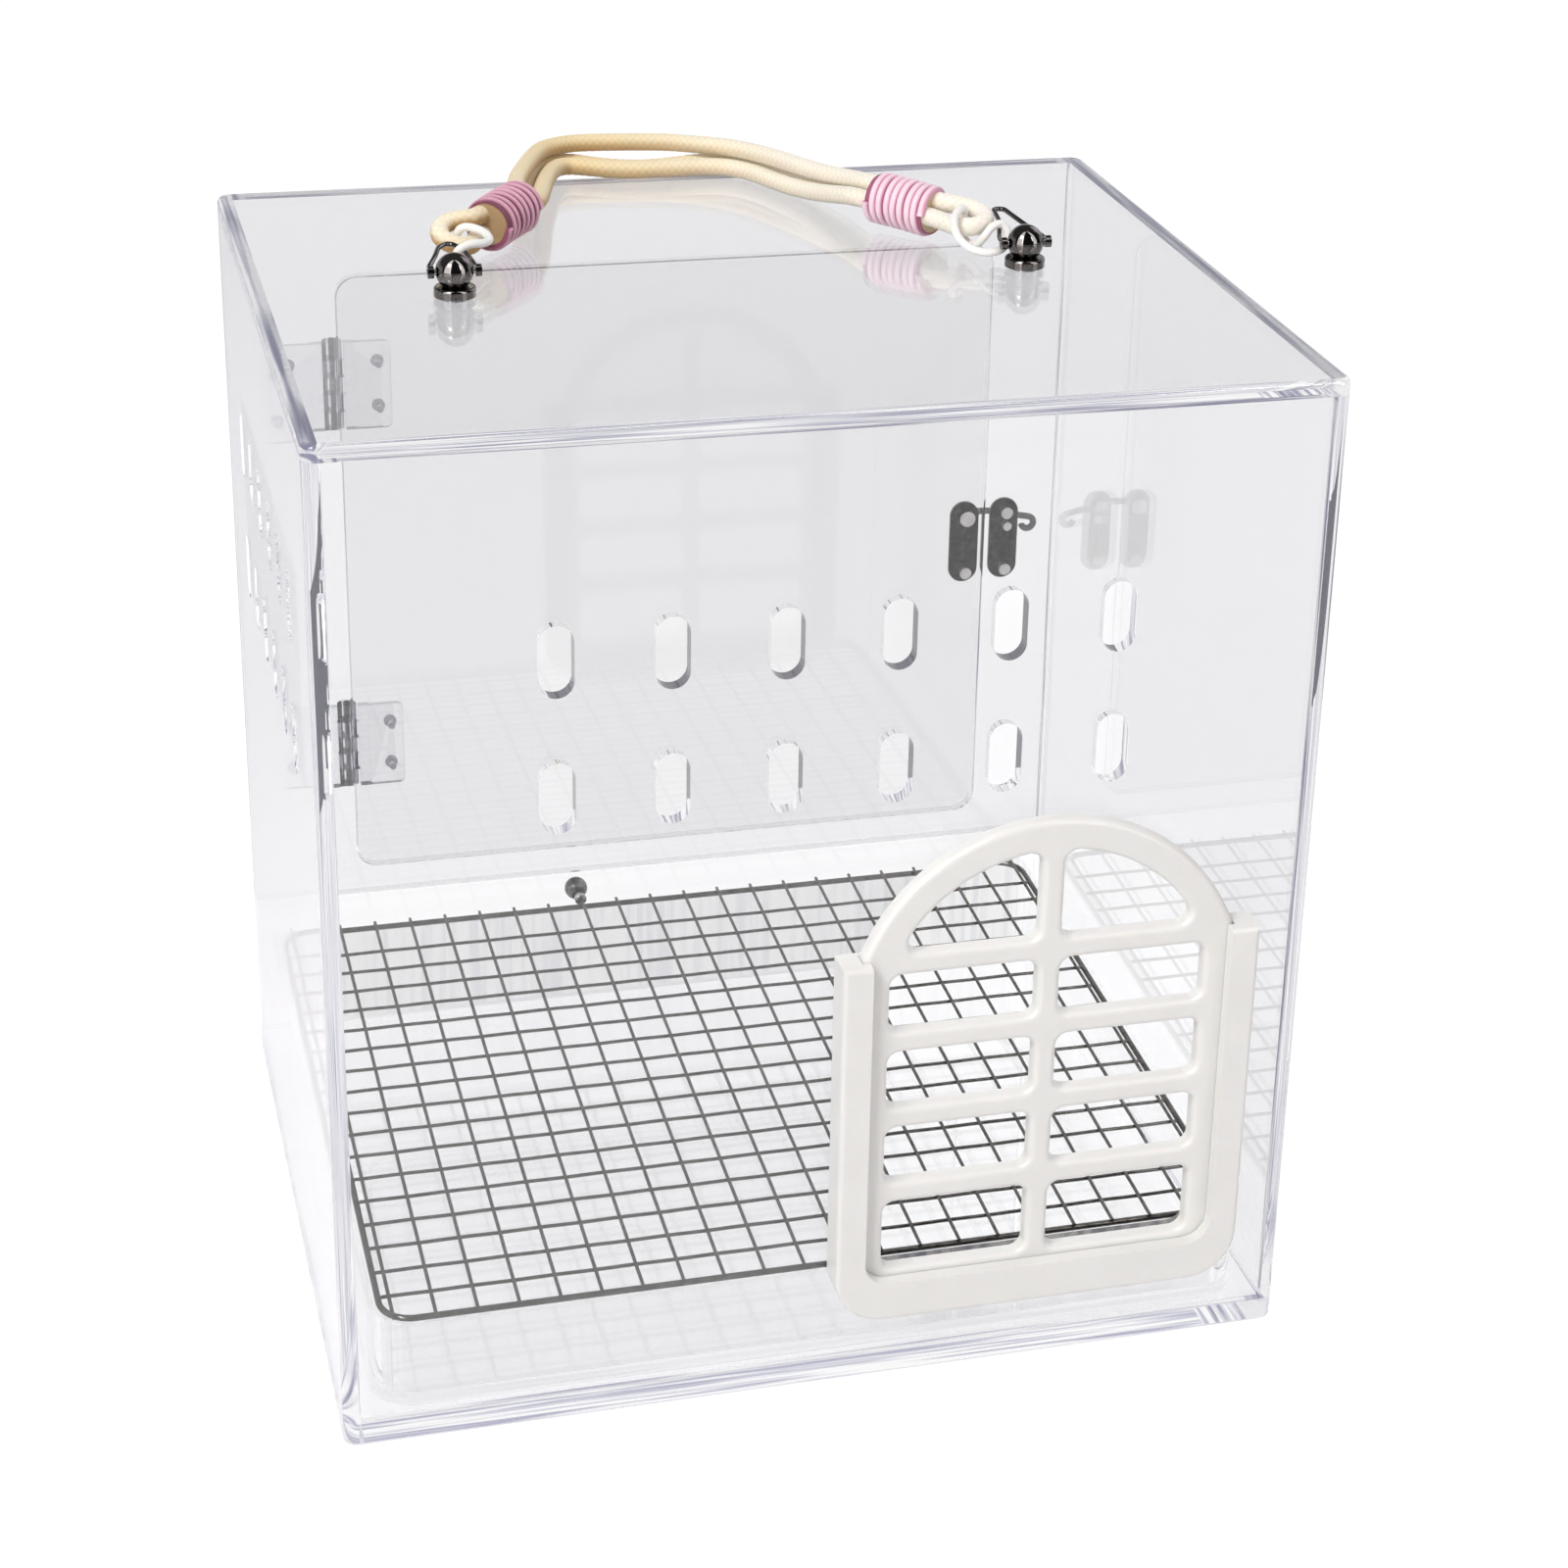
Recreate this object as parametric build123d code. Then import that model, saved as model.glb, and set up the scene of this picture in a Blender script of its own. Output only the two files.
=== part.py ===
from build123d import *
import os
from math import asin, atan2, cos, degrees, hypot, pi, radians, sin, tan

os.makedirs("parts", exist_ok=True)

# Clear travel carrier for a small bird. Millimetres. X is the width (right is +X), Y the depth (the
# gate is at -Y, the door at +Y), Z is up. The origin is the centre of the underside of the base.

# ---------------------------------------------------------------- box
BOX_WIDTH = 300.0
BOX_DEPTH = 250.0
BASE_THICK = 8.0
WALL_HEIGHT = 308.0
WALL_THICK = 5.0
LID_THICK = 5.0
CORNER_ROUND = 4.5
LID_EDGE_ROUND = 2.0
BASE_EDGE_ROUND = 1.0

# vent slots, two rows
VENT_WIDTH = 10.0
VENT_HEIGHT = 22.0
VENT_LOW_DROP = 105.0
VENT_HIGH_DROP = 63.0
FRONT_VENT_PITCH = 33.0
FRONT_VENT_COUNT = 6
SIDE_VENT_PITCH = 27.5
SIDE_VENT_COUNT = 6

# ---------------------------------------------------------------- gate and its channel
GATE_X = 64.6
GATE_HALF = 58.25
GATE_THICK = 5.0
GATE_BOTTOM_Z = 36.2
GATE_ARCH_Z = 130.0
GATE_ARCH_R = 62.0
GATE_ARCH_BAND = 10.0
GATE_STILE = 8.7
GATE_CENTRE_BAR = 7.0
GATE_RAIL = 6.8
GATE_BAR = 6.8
GATE_FIRST_OPENING = 24.0
GATE_OPENING = 19.4
GATE_BARS = 4
GATE_OPENING_ROUND = 4.0
GATE_EDGE_ROUND = 2.0
GATE_CORNER_ROUND = 9.0
GATE_RUN_GAP = 0.3
GATE_LAP = 5.25
DOORWAY_SILL = 3.8
DOORWAY_CORNER = 5.0
CHANNEL_WEB = 1.5
CHANNEL_SIDE = 6.7
CHANNEL_BOTTOM = 8.4
CHANNEL_LIP = 4.4
CHANNEL_LIP_WIDTH = 9.1
CHANNEL_LIP_BOTTOM = 13.2
CHANNEL_TOP_Z = 151.5
CHANNEL_CORNER = 16.0
CHANNEL_LIP_CORNER = 8.0
CHANNEL_EDGE_ROUND = 1.5

# ---------------------------------------------------------------- back door and hinges
DOOR_HINGE_MARGIN = 37.5
DOOR_LATCH_MARGIN = 32.0
DOOR_SILL = 11.0
DOOR_TOP_MARGIN = 28.5
DOOR_CORNER = 7.0
DOOR_GAP = 0.6
HINGE_AXIS_SETBACK = 1.5
HINGE_AXIS_STANDOFF = 3.5
HINGE_LOW_INSET = 46.0
HINGE_HIGH_INSET = 39.0
HINGE_HEIGHT = 31.0
HINGE_REACH = 19.4
HINGE_RIDGE_REACH = 7.5
HINGE_RIDGE = 1.2
HINGE_LEAF = 2.0
HINGE_LEAF_ROUND = 2.0
HINGE_KNUCKLE_R = 3.3
HINGE_KNUCKLES = 5
HINGE_KNUCKLE_GAP = 0.3
HINGE_SWING_GAP = 0.4
HINGE_WEB_LIFT = 0.4
HINGE_WEB = 2.6
HINGE_PIN_R = 1.2
HINGE_PIN_GAP = 0.05
HINGE_PIN_OVERRUN = 0.8
HINGE_SCREW_REACH = 15.0
HINGE_SCREW_SPACING = 16.0
HINGE_SCREW_R = 1.2
HINGE_SCREW_DEPTH = 4.0
HINGE_SCREW_HEAD_R = 2.2
HINGE_SCREW_HEAD = 1.1
SCREW_SLOT_LONG = 2.6
SCREW_SLOT_WIDTH = 0.5
SCREW_SLOT_DEPTH = 0.5

# ---------------------------------------------------------------- latch
LATCH_PLATE_WIDTH = 10.7
LATCH_PLATE_HEIGHT = 31.0
LATCH_PLATE = 1.2
LATCH_INSET = 6.1
LATCH_BELOW_MIDDLE = 0.75
KEEPER_OUTSET = 8.9
KEEPER_RISE = 0.5
RIVET_OFFSET = 11.0
RIVET_R = 1.4
RIVET_HEAD_R = 2.2
RIVET_HEAD = 0.8
HOOK_WIRE_R = 1.2
HOOK_STANDOFF = 1.0
HOOK_PIVOT_OFFSET = 10.3
HOOK_PIVOT_R = 1.6
HOOK_PIVOT_HEAD_R = 2.9
HOOK_PIVOT_HEAD = 0.9
HOOK_EYE_R = 3.4
HOOK_FIT = 0.05
HOOK_SIDE_GAP = 0.1
HOOK_BEND_REACH = 9.6
HOOK_CURL_R = 2.3
HOOK_CURL_REACH = 25.2
HOOK_CURL_DROP = 5.7
HOOK_CURL_ANGLE = 240.0
KEEPER_POST_R = 1.6
KEEPER_POST_OUTSET = 9.5
KEEPER_POST_GAP = 0.15
KEEPER_POST_LENGTH = 5.4

# ---------------------------------------------------------------- tray, its face and knob
TRAY_SIDE_GAP = 5.0
TRAY_FRONT_GAP = 2.0
TRAY_RUN_GAP = 0.3
TRAY_FLOOR = 3.0
TRAY_WALL = 4.0
TRAY_RIM_Z = 38.0
TRAY_RIM_RISE = 9.4
TRAY_CORNER = 14.0
FACE_TOP_Z = 61.0
FACE_GAP = 0.6
KNOB_X = -32.0
KNOB_DROP = 11.0
KNOB_R = 4.2
KNOB_NECK_R = 2.4
KNOB_STANDOFF = 5.2
KNOB_SCREW_R = 1.5
KNOB_SCREW_REACH = 4.5
KNOB_SCREW_HEAD_R = 2.2
KNOB_SCREW_HEAD = 1.8

# ---------------------------------------------------------------- floor grate
GRATE_FRAME_R = 1.0
GRATE_WIRE_R = 0.6
GRATE_SEAT_GAP = 0.05
GRATE_CORNER = 10.0
GRATE_PITCH = 12.7
GRATE_ROW_SHIFT = -3.0
GRATE_SIDE_CLEAR = 3.0
GRATE_END_CLEAR = 10.0
GRATE_INSET = 3.5
GRATE_BACK_INSET = 3.5
GRATE_FRONT_INSET = 1.5

# ---------------------------------------------------------------- handle studs
STUD_X = 90.0
STUD_FLANGE_R = 6.4
STUD_FLANGE = 3.0
STUD_FLANGE_ROUND = 0.8
STUD_BALL_R = 5.75
STUD_BALL_HEIGHT = 7.5
STUD_SCREW_R = 2.0
STUD_SCREW_REACH = 5.0
STUD_SCREW_HEAD_R = 3.8
STUD_SCREW_HEAD = 2.0
STUD_SOCKET_R = 1.3
STUD_SOCKET_DEPTH = 1.2

# bails: the wire loops that turn on a pin through each ball
BAIL_PIN_R = 1.0
BAIL_PIN_GAP = 0.05
BAIL_PIN_OVERRUN = 0.2
BAIL_EAR_X = 7.2
BAIL_EAR_R = 1.9
BAIL_EAR = 1.8
BAIL_WIRE_R = 0.8

# ---------------------------------------------------------------- rope handle
ROPE_R = 3.0
LINK_R = 1.3
WHIP_INNER_R = 6.8
WHIP_OUTER_R = 8.4
CORD_AXIS_Z = 328.5
LEFT_WHIP_START = (-74.35, 38.7, 330.6)
LEFT_WHIP_END = (-59.85, 58.6, 331.4)
RIGHT_WHIP_START = (54.5, 49.7, 331.5)
RIGHT_WHIP_END = (69.7, 30.6, 330.5)

# The cords and whippings are laid out for pins at the height CORD_AXIS_Z and rise with the pins.
# The rope's route with the handle lying back on the lid: from its end in the left whipping along the
# lid to the right whipping, round the right eye, back along the top of the arch, round the left eye
# and once more along the lid to its other end in the right whipping.
ROPE_ROUTE = [
    (-72.1, 35.6, 330.6),
    (-55.4, 58.5, 331.5),
    (-53.2, 64.0, 331.2),
    (-51.0, 72.0, 330.4),
    (-48.0, 86.0, 328.8),
    (-43.2, 105.5, 326.8),
    (-38.2, 121.5, 325.3),
    (-32.8, 127.9, 324.5),
    (-26.5, 125.2, 324.5),
    (-19.6, 121.4, 324.4),
    (-13.0, 119.2, 324.4),
    (-6.0, 118.9, 324.4),
    (0.5, 119.3, 324.4),
    (7.0, 119.5, 324.4),
    (14.0, 119.4, 324.4),
    (20.5, 117.6, 324.4),
    (26.0, 112.8, 324.4),
    (30.6, 103.6, 324.4),
    (34.8, 92.5, 324.5),
    (39.0, 82.0, 325.3),
    (42.6, 71.0, 327.0),
    (46.0, 59.5, 329.5),
    (47.9, 54.0, 330.6),
    (50.1, 49.4, 331.0),
    (68.4, 26.4, 329.8),
    (70.4, 22.0, 329.5),
    (73.4, 17.2, 329.4),
    (77.6, 14.9, 329.8),
    (81.5, 16.6, 330.6),
    (83.0, 20.8, 331.6),
    (81.0, 25.6, 332.6),
    (76.6, 28.2, 333.4),
    (72.3, 29.3, 333.8),
    (54.0, 52.3, 335.0),
    (51.8, 60.5, 333.9),
    (48.5, 68.8, 332.8),
    (44.2, 77.8, 332.0),
    (40.0, 87.5, 331.6),
    (35.8, 97.5, 331.3),
    (31.4, 107.0, 331.0),
    (26.5, 115.1, 330.7),
    (21.3, 121.5, 330.4),
    (15.3, 125.6, 330.2),
    (9.4, 129.4, 330.0),
    (3.3, 132.4, 330.0),
    (-9.8, 134.8, 330.0),
    (-23.3, 136.2, 330.0),
    (-30.5, 135.3, 330.1),
    (-37.2, 131.4, 330.3),
    (-41.8, 126.2, 330.6),
    (-46.9, 114.5, 331.0),
    (-52.3, 98.5, 331.7),
    (-56.2, 86.0, 332.4),
    (-58.9, 73.5, 333.4),
    (-59.3, 66.8, 334.1),
    (-59.9, 61.6, 334.6),
    (-77.3, 37.7, 333.7),
    (-82.0, 36.6, 334.0),
    (-87.3, 36.0, 333.2),
    (-90.2, 32.2, 331.6),
    (-89.0, 27.8, 329.8),
    (-84.6, 26.2, 328.3),
    (-80.2, 29.4, 327.4),
    (-77.2, 37.8, 327.4),
    (-59.9, 61.8, 328.3),
    (-57.9, 67.5, 328.0),
    (-55.8, 76.5, 327.2),
    (-53.4, 88.0, 326.2),
    (-50.4, 101.0, 325.4),
    (-46.9, 114.5, 324.8),
    (-43.2, 126.3, 324.4),
    (-38.6, 133.4, 324.2),
    (-30.3, 136.0, 323.6),
    (-21.5, 132.0, 322.8),
    (-12.5, 129.2, 322.3),
    (-3.0, 128.7, 322.2),
    (5.0, 129.2, 322.6),
    (11.8, 129.4, 323.2),
    (18.5, 127.2, 324.0),
    (25.5, 122.6, 324.4),
    (32.4, 114.6, 324.4),
    (37.0, 105.5, 324.4),
    (40.9, 96.5, 324.4),
    (44.2, 87.0, 324.7),
    (47.0, 78.5, 325.5),
    (50.0, 69.8, 326.4),
    (52.9, 60.8, 327.7),
    (54.7, 53.2, 328.8),
    (72.4, 31.0, 327.65),
]

# The cord loops that tie the rope's eyes to the bails.
LEFT_LINK_ROUTE = [
    (-84.7, 31.9, 330.0),
    (-83.2, 30.8, 333.2),
    (-79.6, 28.6, 333.4),
    (-76.4, 24.6, 332.6),
    (-75.8, 19.6, 331.8),
    (-78.6, 15.6, 332.0),
    (-83.0, 13.4, 332.9),
    (-87.2, 13.2, 331.0),
    (-87.4, 14.6, 327.8),
    (-84.8, 17.0, 325.4),
    (-84.0, 21.5, 323.9),
    (-84.2, 27.5, 323.1),
    (-84.8, 31.8, 324.6),
    (-85.0, 32.6, 327.4),
]
RIGHT_LINK_ROUTE = [
    (76.2, 22.8, 330.4),
    (76.4, 22.4, 333.6),
    (74.0, 18.6, 335.4),
    (70.3, 14.2, 333.4),
    (69.6, 9.0, 329.4),
    (72.2, 4.2, 326.4),
    (76.6, 1.3, 325.3),
    (81.6, 1.7, 325.4),
    (85.5, 5.4, 326.2),
    (87.0, 8.2, 329.4),
    (85.0, 9.6, 332.4),
    (81.4, 8.8, 331.6),
    (79.0, 8.8, 328.0),
    (77.6, 11.4, 325.0),
    (76.6, 15.6, 324.0),
    (76.0, 20.4, 324.2),
    (76.1, 23.0, 327.2),
]

# The bail wires, from ear to ear of each pin, measured from the ball's centre.
LEFT_BAIL_ROUTE = [
    (-BAIL_EAR_X, 1.1, 0.0),
    (-BAIL_EAR_X, 4.0, 0.3),
    (-4.5, 10.0, 1.5),
    (-2.0, 19.0, 2.1),
    (2.0, 23.0, 2.1),
    (5.5, 16.0, 1.5),
    (6.5, 8.0, 0.7),
    (BAIL_EAR_X, 1.1, 0.0),
]
RIGHT_BAIL_ROUTE = [
    (-BAIL_EAR_X, 1.1, 0.0),
    (-BAIL_EAR_X, 4.5, 0.3),
    (-5.3, 11.0, 1.1),
    (-3.1, 18.0, 1.8),
    (-2.4, 24.5, 2.4),
    (-2.0, 29.0, 2.7),
    (1.6, 29.0, 2.7),
    (2.4, 23.0, 2.4),
    (4.0, 14.0, 1.7),
    (BAIL_EAR_X, 4.0, 0.3),
    (BAIL_EAR_X, 1.1, 0.0),
]

# ---------------------------------------------------------------- derived planes of the box
WALL_BASE_Z = BASE_THICK
LID_BOTTOM_Z = WALL_BASE_Z + WALL_HEIGHT
LID_TOP_Z = LID_BOTTOM_Z + LID_THICK
FRONT_Y = -BOX_DEPTH / 2
BACK_Y = BOX_DEPTH / 2
FRONT_INNER_Y = FRONT_Y + WALL_THICK
BACK_INNER_Y = BACK_Y - WALL_THICK
SIDE_INNER_X = BOX_WIDTH / 2 - WALL_THICK
VENT_LOW_Z = LID_BOTTOM_Z - VENT_LOW_DROP
VENT_HIGH_Z = LID_BOTTOM_Z - VENT_HIGH_DROP
DOOR_LEFT_X = DOOR_HINGE_MARGIN - BOX_WIDTH / 2
DOOR_RIGHT_X = BOX_WIDTH / 2 - DOOR_LATCH_MARGIN
DOOR_BOTTOM_Z = FACE_TOP_Z + DOOR_SILL
DOOR_TOP_Z = LID_BOTTOM_Z - DOOR_TOP_MARGIN
HINGE_LOW_Z = DOOR_BOTTOM_Z + HINGE_LOW_INSET
HINGE_HIGH_Z = DOOR_TOP_Z - HINGE_HIGH_INSET
LATCH_X = DOOR_RIGHT_X - LATCH_INSET
LATCH_Z = (DOOR_BOTTOM_Z + DOOR_TOP_Z) / 2 - LATCH_BELOW_MIDDLE
KEEPER_X = DOOR_RIGHT_X + KEEPER_OUTSET
KEEPER_Z = LATCH_Z + KEEPER_RISE
KEEPER_POST_X = DOOR_RIGHT_X + KEEPER_POST_OUTSET
KNOB_Z = FACE_TOP_Z - KNOB_DROP


# ---------------------------------------------------------------- helpers
def xz_slab(sketch, low_y, high_y):
    """Extrudes a sketch drawn in X and Z between two Y planes."""
    plane = Plane(origin=(0, high_y, 0), x_dir=(1, 0, 0), z_dir=(0, -1, 0))
    return extrude(plane * sketch, amount=high_y - low_y)


def yz_slab(sketch, low_x, high_x):
    """Extrudes a sketch drawn in Y and Z between two X planes."""
    plane = Plane(origin=(low_x, 0, 0), x_dir=(0, 1, 0), z_dir=(1, 0, 0))
    return extrude(plane * sketch, amount=high_x - low_x)


def block(low, high):
    """A box between two corners."""
    size = [high[i] - low[i] for i in range(3)]
    middle = [(high[i] + low[i]) / 2 for i in range(3)]
    return Pos(*middle) * Box(*size)


def area(low, high):
    """A rectangle between two corners."""
    size = [high[i] - low[i] for i in range(2)]
    middle = [(high[i] + low[i]) / 2 for i in range(2)]
    return Pos(*middle) * Rectangle(*size)


def rod(start, end, radius):
    """A round rod between two points."""
    start = Vector(*start)
    end = Vector(*end)
    plane = Plane(origin=start, z_dir=end - start)
    return extrude(plane * Circle(radius), amount=(end - start).length)


def bend_radii(route):
    """Radius of each bend: 0.45 of the shorter run over the tangent of half the turn."""
    points = [Vector(*point) for point in route]
    radii = []
    for i in range(1, len(points) - 1):
        before = points[i] - points[i - 1]
        after = points[i + 1] - points[i]
        turn = before.get_angle(after)
        radii.append(0.45 * min(before.length, after.length) / tan(radians(turn) / 2))
    return radii


def wire_tube(route, radius):
    """A round tube along straight runs joined by tangent arcs."""
    radii = bend_radii(route)
    path = FilletPolyline(*route, radius=radii)
    section = Plane(origin=path @ 0, z_dir=path % 0) * Circle(radius)
    return sweep(section, path=path), path.length, radii


def loop_tube(route, radius):
    """A closed round tube, swept as two halves that meet in the middle of two straight runs."""
    points = [Vector(*point) for point in route]
    half = len(points) // 2
    first_joint = (points[0] + points[-1]) / 2
    second_joint = (points[half - 1] + points[half]) / 2
    first, first_length, first_radii = wire_tube([first_joint] + points[:half] + [second_joint], radius)
    second, second_length, second_radii = wire_tube([second_joint] + points[half:] + [first_joint], radius)
    return first + second, first_length + second_length, first_radii + second_radii


def report_tube(name, tube, length, radii, radius):
    """Prints a tube's length, its bends and its volume against section times length."""
    section = pi * radius * radius
    print(
        name,
        "length",
        round(length, 1),
        "volume ratio",
        round(tube.volume / (section * length), 4),
        "radii",
        [round(value, 1) for value in radii],
    )


def save(name, shape):
    export_step(shape, "parts/" + name + ".step")


# ---------------------------------------------------------------- box
def make_base():
    base = Pos(0, 0, BASE_THICK / 2) * Box(BOX_WIDTH, BOX_DEPTH, BASE_THICK)
    base = fillet(base.edges().filter_by(Axis.Z), CORNER_ROUND)
    return fillet(base.faces().sort_by(Axis.Z)[0].edges(), BASE_EDGE_ROUND)


def make_lid():
    lid = Pos(0, 0, LID_BOTTOM_Z + LID_THICK / 2) * Box(BOX_WIDTH, BOX_DEPTH, LID_THICK)
    lid = fillet(lid.edges().filter_by(Axis.Z), CORNER_ROUND)
    lid = fillet(lid.faces().sort_by(Axis.Z)[-1].edges(), LID_EDGE_ROUND)
    for side in (-1, 1):
        lid -= Pos(side * STUD_X, 0, LID_BOTTOM_Z) * stud_screw_space()
    return lid


def vent_sketch(pitch, count):
    sketch = None
    for row_z in (VENT_LOW_Z, VENT_HIGH_Z):
        for i in range(count):
            middle = (i - (count - 1) / 2) * pitch
            slot = Pos(middle, row_z) * Rot(0, 0, 90) * SlotOverall(VENT_HEIGHT, VENT_WIDTH)
            sketch = slot if sketch is None else sketch + slot
    return sketch


def make_side_wall(side, vented):
    outer_x = side * BOX_WIDTH / 2
    inner_x = side * SIDE_INNER_X
    low_x = min(outer_x, inner_x)
    high_x = max(outer_x, inner_x)
    wall = block((low_x, FRONT_Y, WALL_BASE_Z), (high_x, BACK_Y, LID_BOTTOM_Z))
    upright = wall.edges().filter_by(Axis.Z)
    wall = fillet(upright.filter_by(lambda edge: abs(edge.center().X - outer_x) < 0.01), CORNER_ROUND)
    if vented:
        wall -= yz_slab(vent_sketch(SIDE_VENT_PITCH, SIDE_VENT_COUNT), low_x - 1, high_x + 1)
    return wall


def arch_sketch(half, bottom_z, arch_z, arch_r):
    """An upright outline with straight sides and a round top, centred on the gate."""
    round_top = Pos(GATE_X, arch_z) * Circle(arch_r)
    band = area((GATE_X - half, bottom_z), (GATE_X + half, arch_z + arch_r))
    below = area((GATE_X - half, bottom_z), (GATE_X + half, arch_z))
    return below + (round_top & band)


def low_corners(sketch, bottom_z):
    return [vertex for vertex in sketch.vertices() if abs(vertex.Y - bottom_z) < 0.01]


def doorway_sketch():
    half = GATE_HALF - GATE_LAP
    bottom_z = GATE_BOTTOM_Z + DOORWAY_SILL
    outline = arch_sketch(half, bottom_z, GATE_ARCH_Z, GATE_ARCH_R - GATE_LAP)
    return fillet(low_corners(outline, bottom_z), DOORWAY_CORNER)


def make_front_wall():
    wall = block((-SIDE_INNER_X, FRONT_Y, WALL_BASE_Z), (SIDE_INNER_X, FRONT_INNER_Y, LID_BOTTOM_Z))
    wall -= xz_slab(vent_sketch(FRONT_VENT_PITCH, FRONT_VENT_COUNT), FRONT_Y - 1, FRONT_INNER_Y + 1)
    wall -= xz_slab(doorway_sketch(), FRONT_Y - 1, FRONT_INNER_Y + 1)
    return wall


# ---------------------------------------------------------------- gate
def make_gate():
    back_y = FRONT_Y - CHANNEL_WEB - GATE_RUN_GAP
    outline = arch_sketch(GATE_HALF, GATE_BOTTOM_Z, GATE_ARCH_Z, GATE_ARCH_R)
    outline = fillet(low_corners(outline, GATE_BOTTOM_Z), GATE_CORNER_ROUND)
    inner_half = GATE_HALF - GATE_STILE
    inner_z = GATE_BOTTOM_Z + GATE_RAIL
    for side in (-1, 1):
        near_x = GATE_X + side * GATE_CENTRE_BAR / 2
        far_x = GATE_X + side * inner_half
        low_x = min(near_x, far_x)
        high_x = max(near_x, far_x)
        low_z = inner_z
        high_z = low_z + GATE_FIRST_OPENING
        for row in range(GATE_BARS):
            opening = area((low_x, low_z), (high_x, high_z))
            outline -= fillet(opening.vertices(), GATE_OPENING_ROUND)
            low_z = high_z + GATE_BAR
            high_z = low_z + GATE_OPENING
        top = area((low_x, low_z), (high_x, GATE_ARCH_Z + GATE_ARCH_R))
        top = top & (Pos(GATE_X, GATE_ARCH_Z) * Circle(GATE_ARCH_R - GATE_ARCH_BAND))
        outline -= fillet(top.vertices(), GATE_OPENING_ROUND)
    gate = xz_slab(outline, back_y - GATE_THICK, back_y)
    front = gate.faces().sort_by(Axis.Y)[0]
    return fillet(front.edges(), GATE_EDGE_ROUND)


def channel_outline(half, bottom_z, corner):
    outline = area((GATE_X - half, bottom_z), (GATE_X + half, CHANNEL_TOP_Z))
    return fillet(low_corners(outline, bottom_z), corner)


def make_channel():
    half = GATE_HALF + GATE_RUN_GAP + CHANNEL_SIDE
    bottom_z = GATE_BOTTOM_Z - CHANNEL_BOTTOM
    web_y = FRONT_Y - CHANNEL_WEB
    slot_y = web_y - GATE_THICK - 2 * GATE_RUN_GAP
    front_y = slot_y - CHANNEL_LIP
    over_top = area((GATE_X - half, CHANNEL_TOP_Z - 1), (GATE_X + half, CHANNEL_TOP_Z + 1))
    outer = channel_outline(half, bottom_z, CHANNEL_CORNER)
    slot_half = GATE_HALF + GATE_RUN_GAP
    slot = channel_outline(slot_half, GATE_BOTTOM_Z, GATE_CORNER_ROUND)
    slot += area((GATE_X - slot_half, CHANNEL_TOP_Z - 1), (GATE_X + slot_half, CHANNEL_TOP_Z + 1))
    lip_half = half - CHANNEL_LIP_WIDTH
    lip = channel_outline(lip_half, bottom_z + CHANNEL_LIP_BOTTOM, CHANNEL_LIP_CORNER)
    lip += area((GATE_X - lip_half, CHANNEL_TOP_Z - 1), (GATE_X + lip_half, CHANNEL_TOP_Z + 1))
    body = xz_slab(outer, front_y, FRONT_Y)
    edges = body.faces().sort_by(Axis.Y)[0].edges()
    body = fillet(edges, CHANNEL_EDGE_ROUND)
    body -= xz_slab(slot, slot_y, web_y)
    body -= xz_slab(lip, front_y - 1, slot_y)
    body -= xz_slab(doorway_sketch(), web_y - 1, FRONT_Y + 1)
    return body


# ---------------------------------------------------------------- back wall, door and hinges
HINGE_X = DOOR_LEFT_X - HINGE_AXIS_SETBACK
HINGE_Y = BACK_Y + HINGE_AXIS_STANDOFF
HINGE_ZS = (HINGE_LOW_Z, HINGE_HIGH_Z)
LATCH_RIVET_Z = LATCH_Z - RIVET_OFFSET
HOOK_PIVOT_Z = LATCH_Z + HOOK_PIVOT_OFFSET
KEEPER_RIVET_ZS = (KEEPER_Z - RIVET_OFFSET, KEEPER_Z + RIVET_OFFSET)


def door_sketch(grow):
    low = (DOOR_LEFT_X - grow, DOOR_BOTTOM_Z - grow)
    high = (DOOR_RIGHT_X + grow, DOOR_TOP_Z + grow)
    outline = area(low, high)
    return fillet(outline.vertices(), DOOR_CORNER + grow)


def hinge_screw_places(side):
    """Screws of both hinges on one side: +1 is the door's leaf, -1 the wall's."""
    places = []
    for middle_z in HINGE_ZS:
        for step in (-0.5, 0.5):
            places.append((HINGE_X + side * HINGE_SCREW_REACH, middle_z + step * HINGE_SCREW_SPACING))
    return places


def drill_back(panel, places, radius, low_y, high_y):
    for x, z in places:
        panel -= rod((x, low_y, z), (x, high_y, z), radius)
    return panel


def post_z():
    """Height of the keeper post, just under the hook's bar."""
    slope = hook_slope()
    bar_z = HOOK_PIVOT_Z + (KEEPER_POST_X - LATCH_X - HOOK_BEND_REACH) * tan(slope)
    return bar_z - (HOOK_WIRE_R + KEEPER_POST_R + KEEPER_POST_GAP) / cos(slope)


def hook_slope():
    """Angle of the hook's sloping bar, which runs tangent to the curl at its end."""
    across = HOOK_CURL_REACH - HOOK_BEND_REACH
    reach = hypot(across, HOOK_CURL_DROP)
    return asin(HOOK_CURL_R / reach) - atan2(HOOK_CURL_DROP, across)


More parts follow.
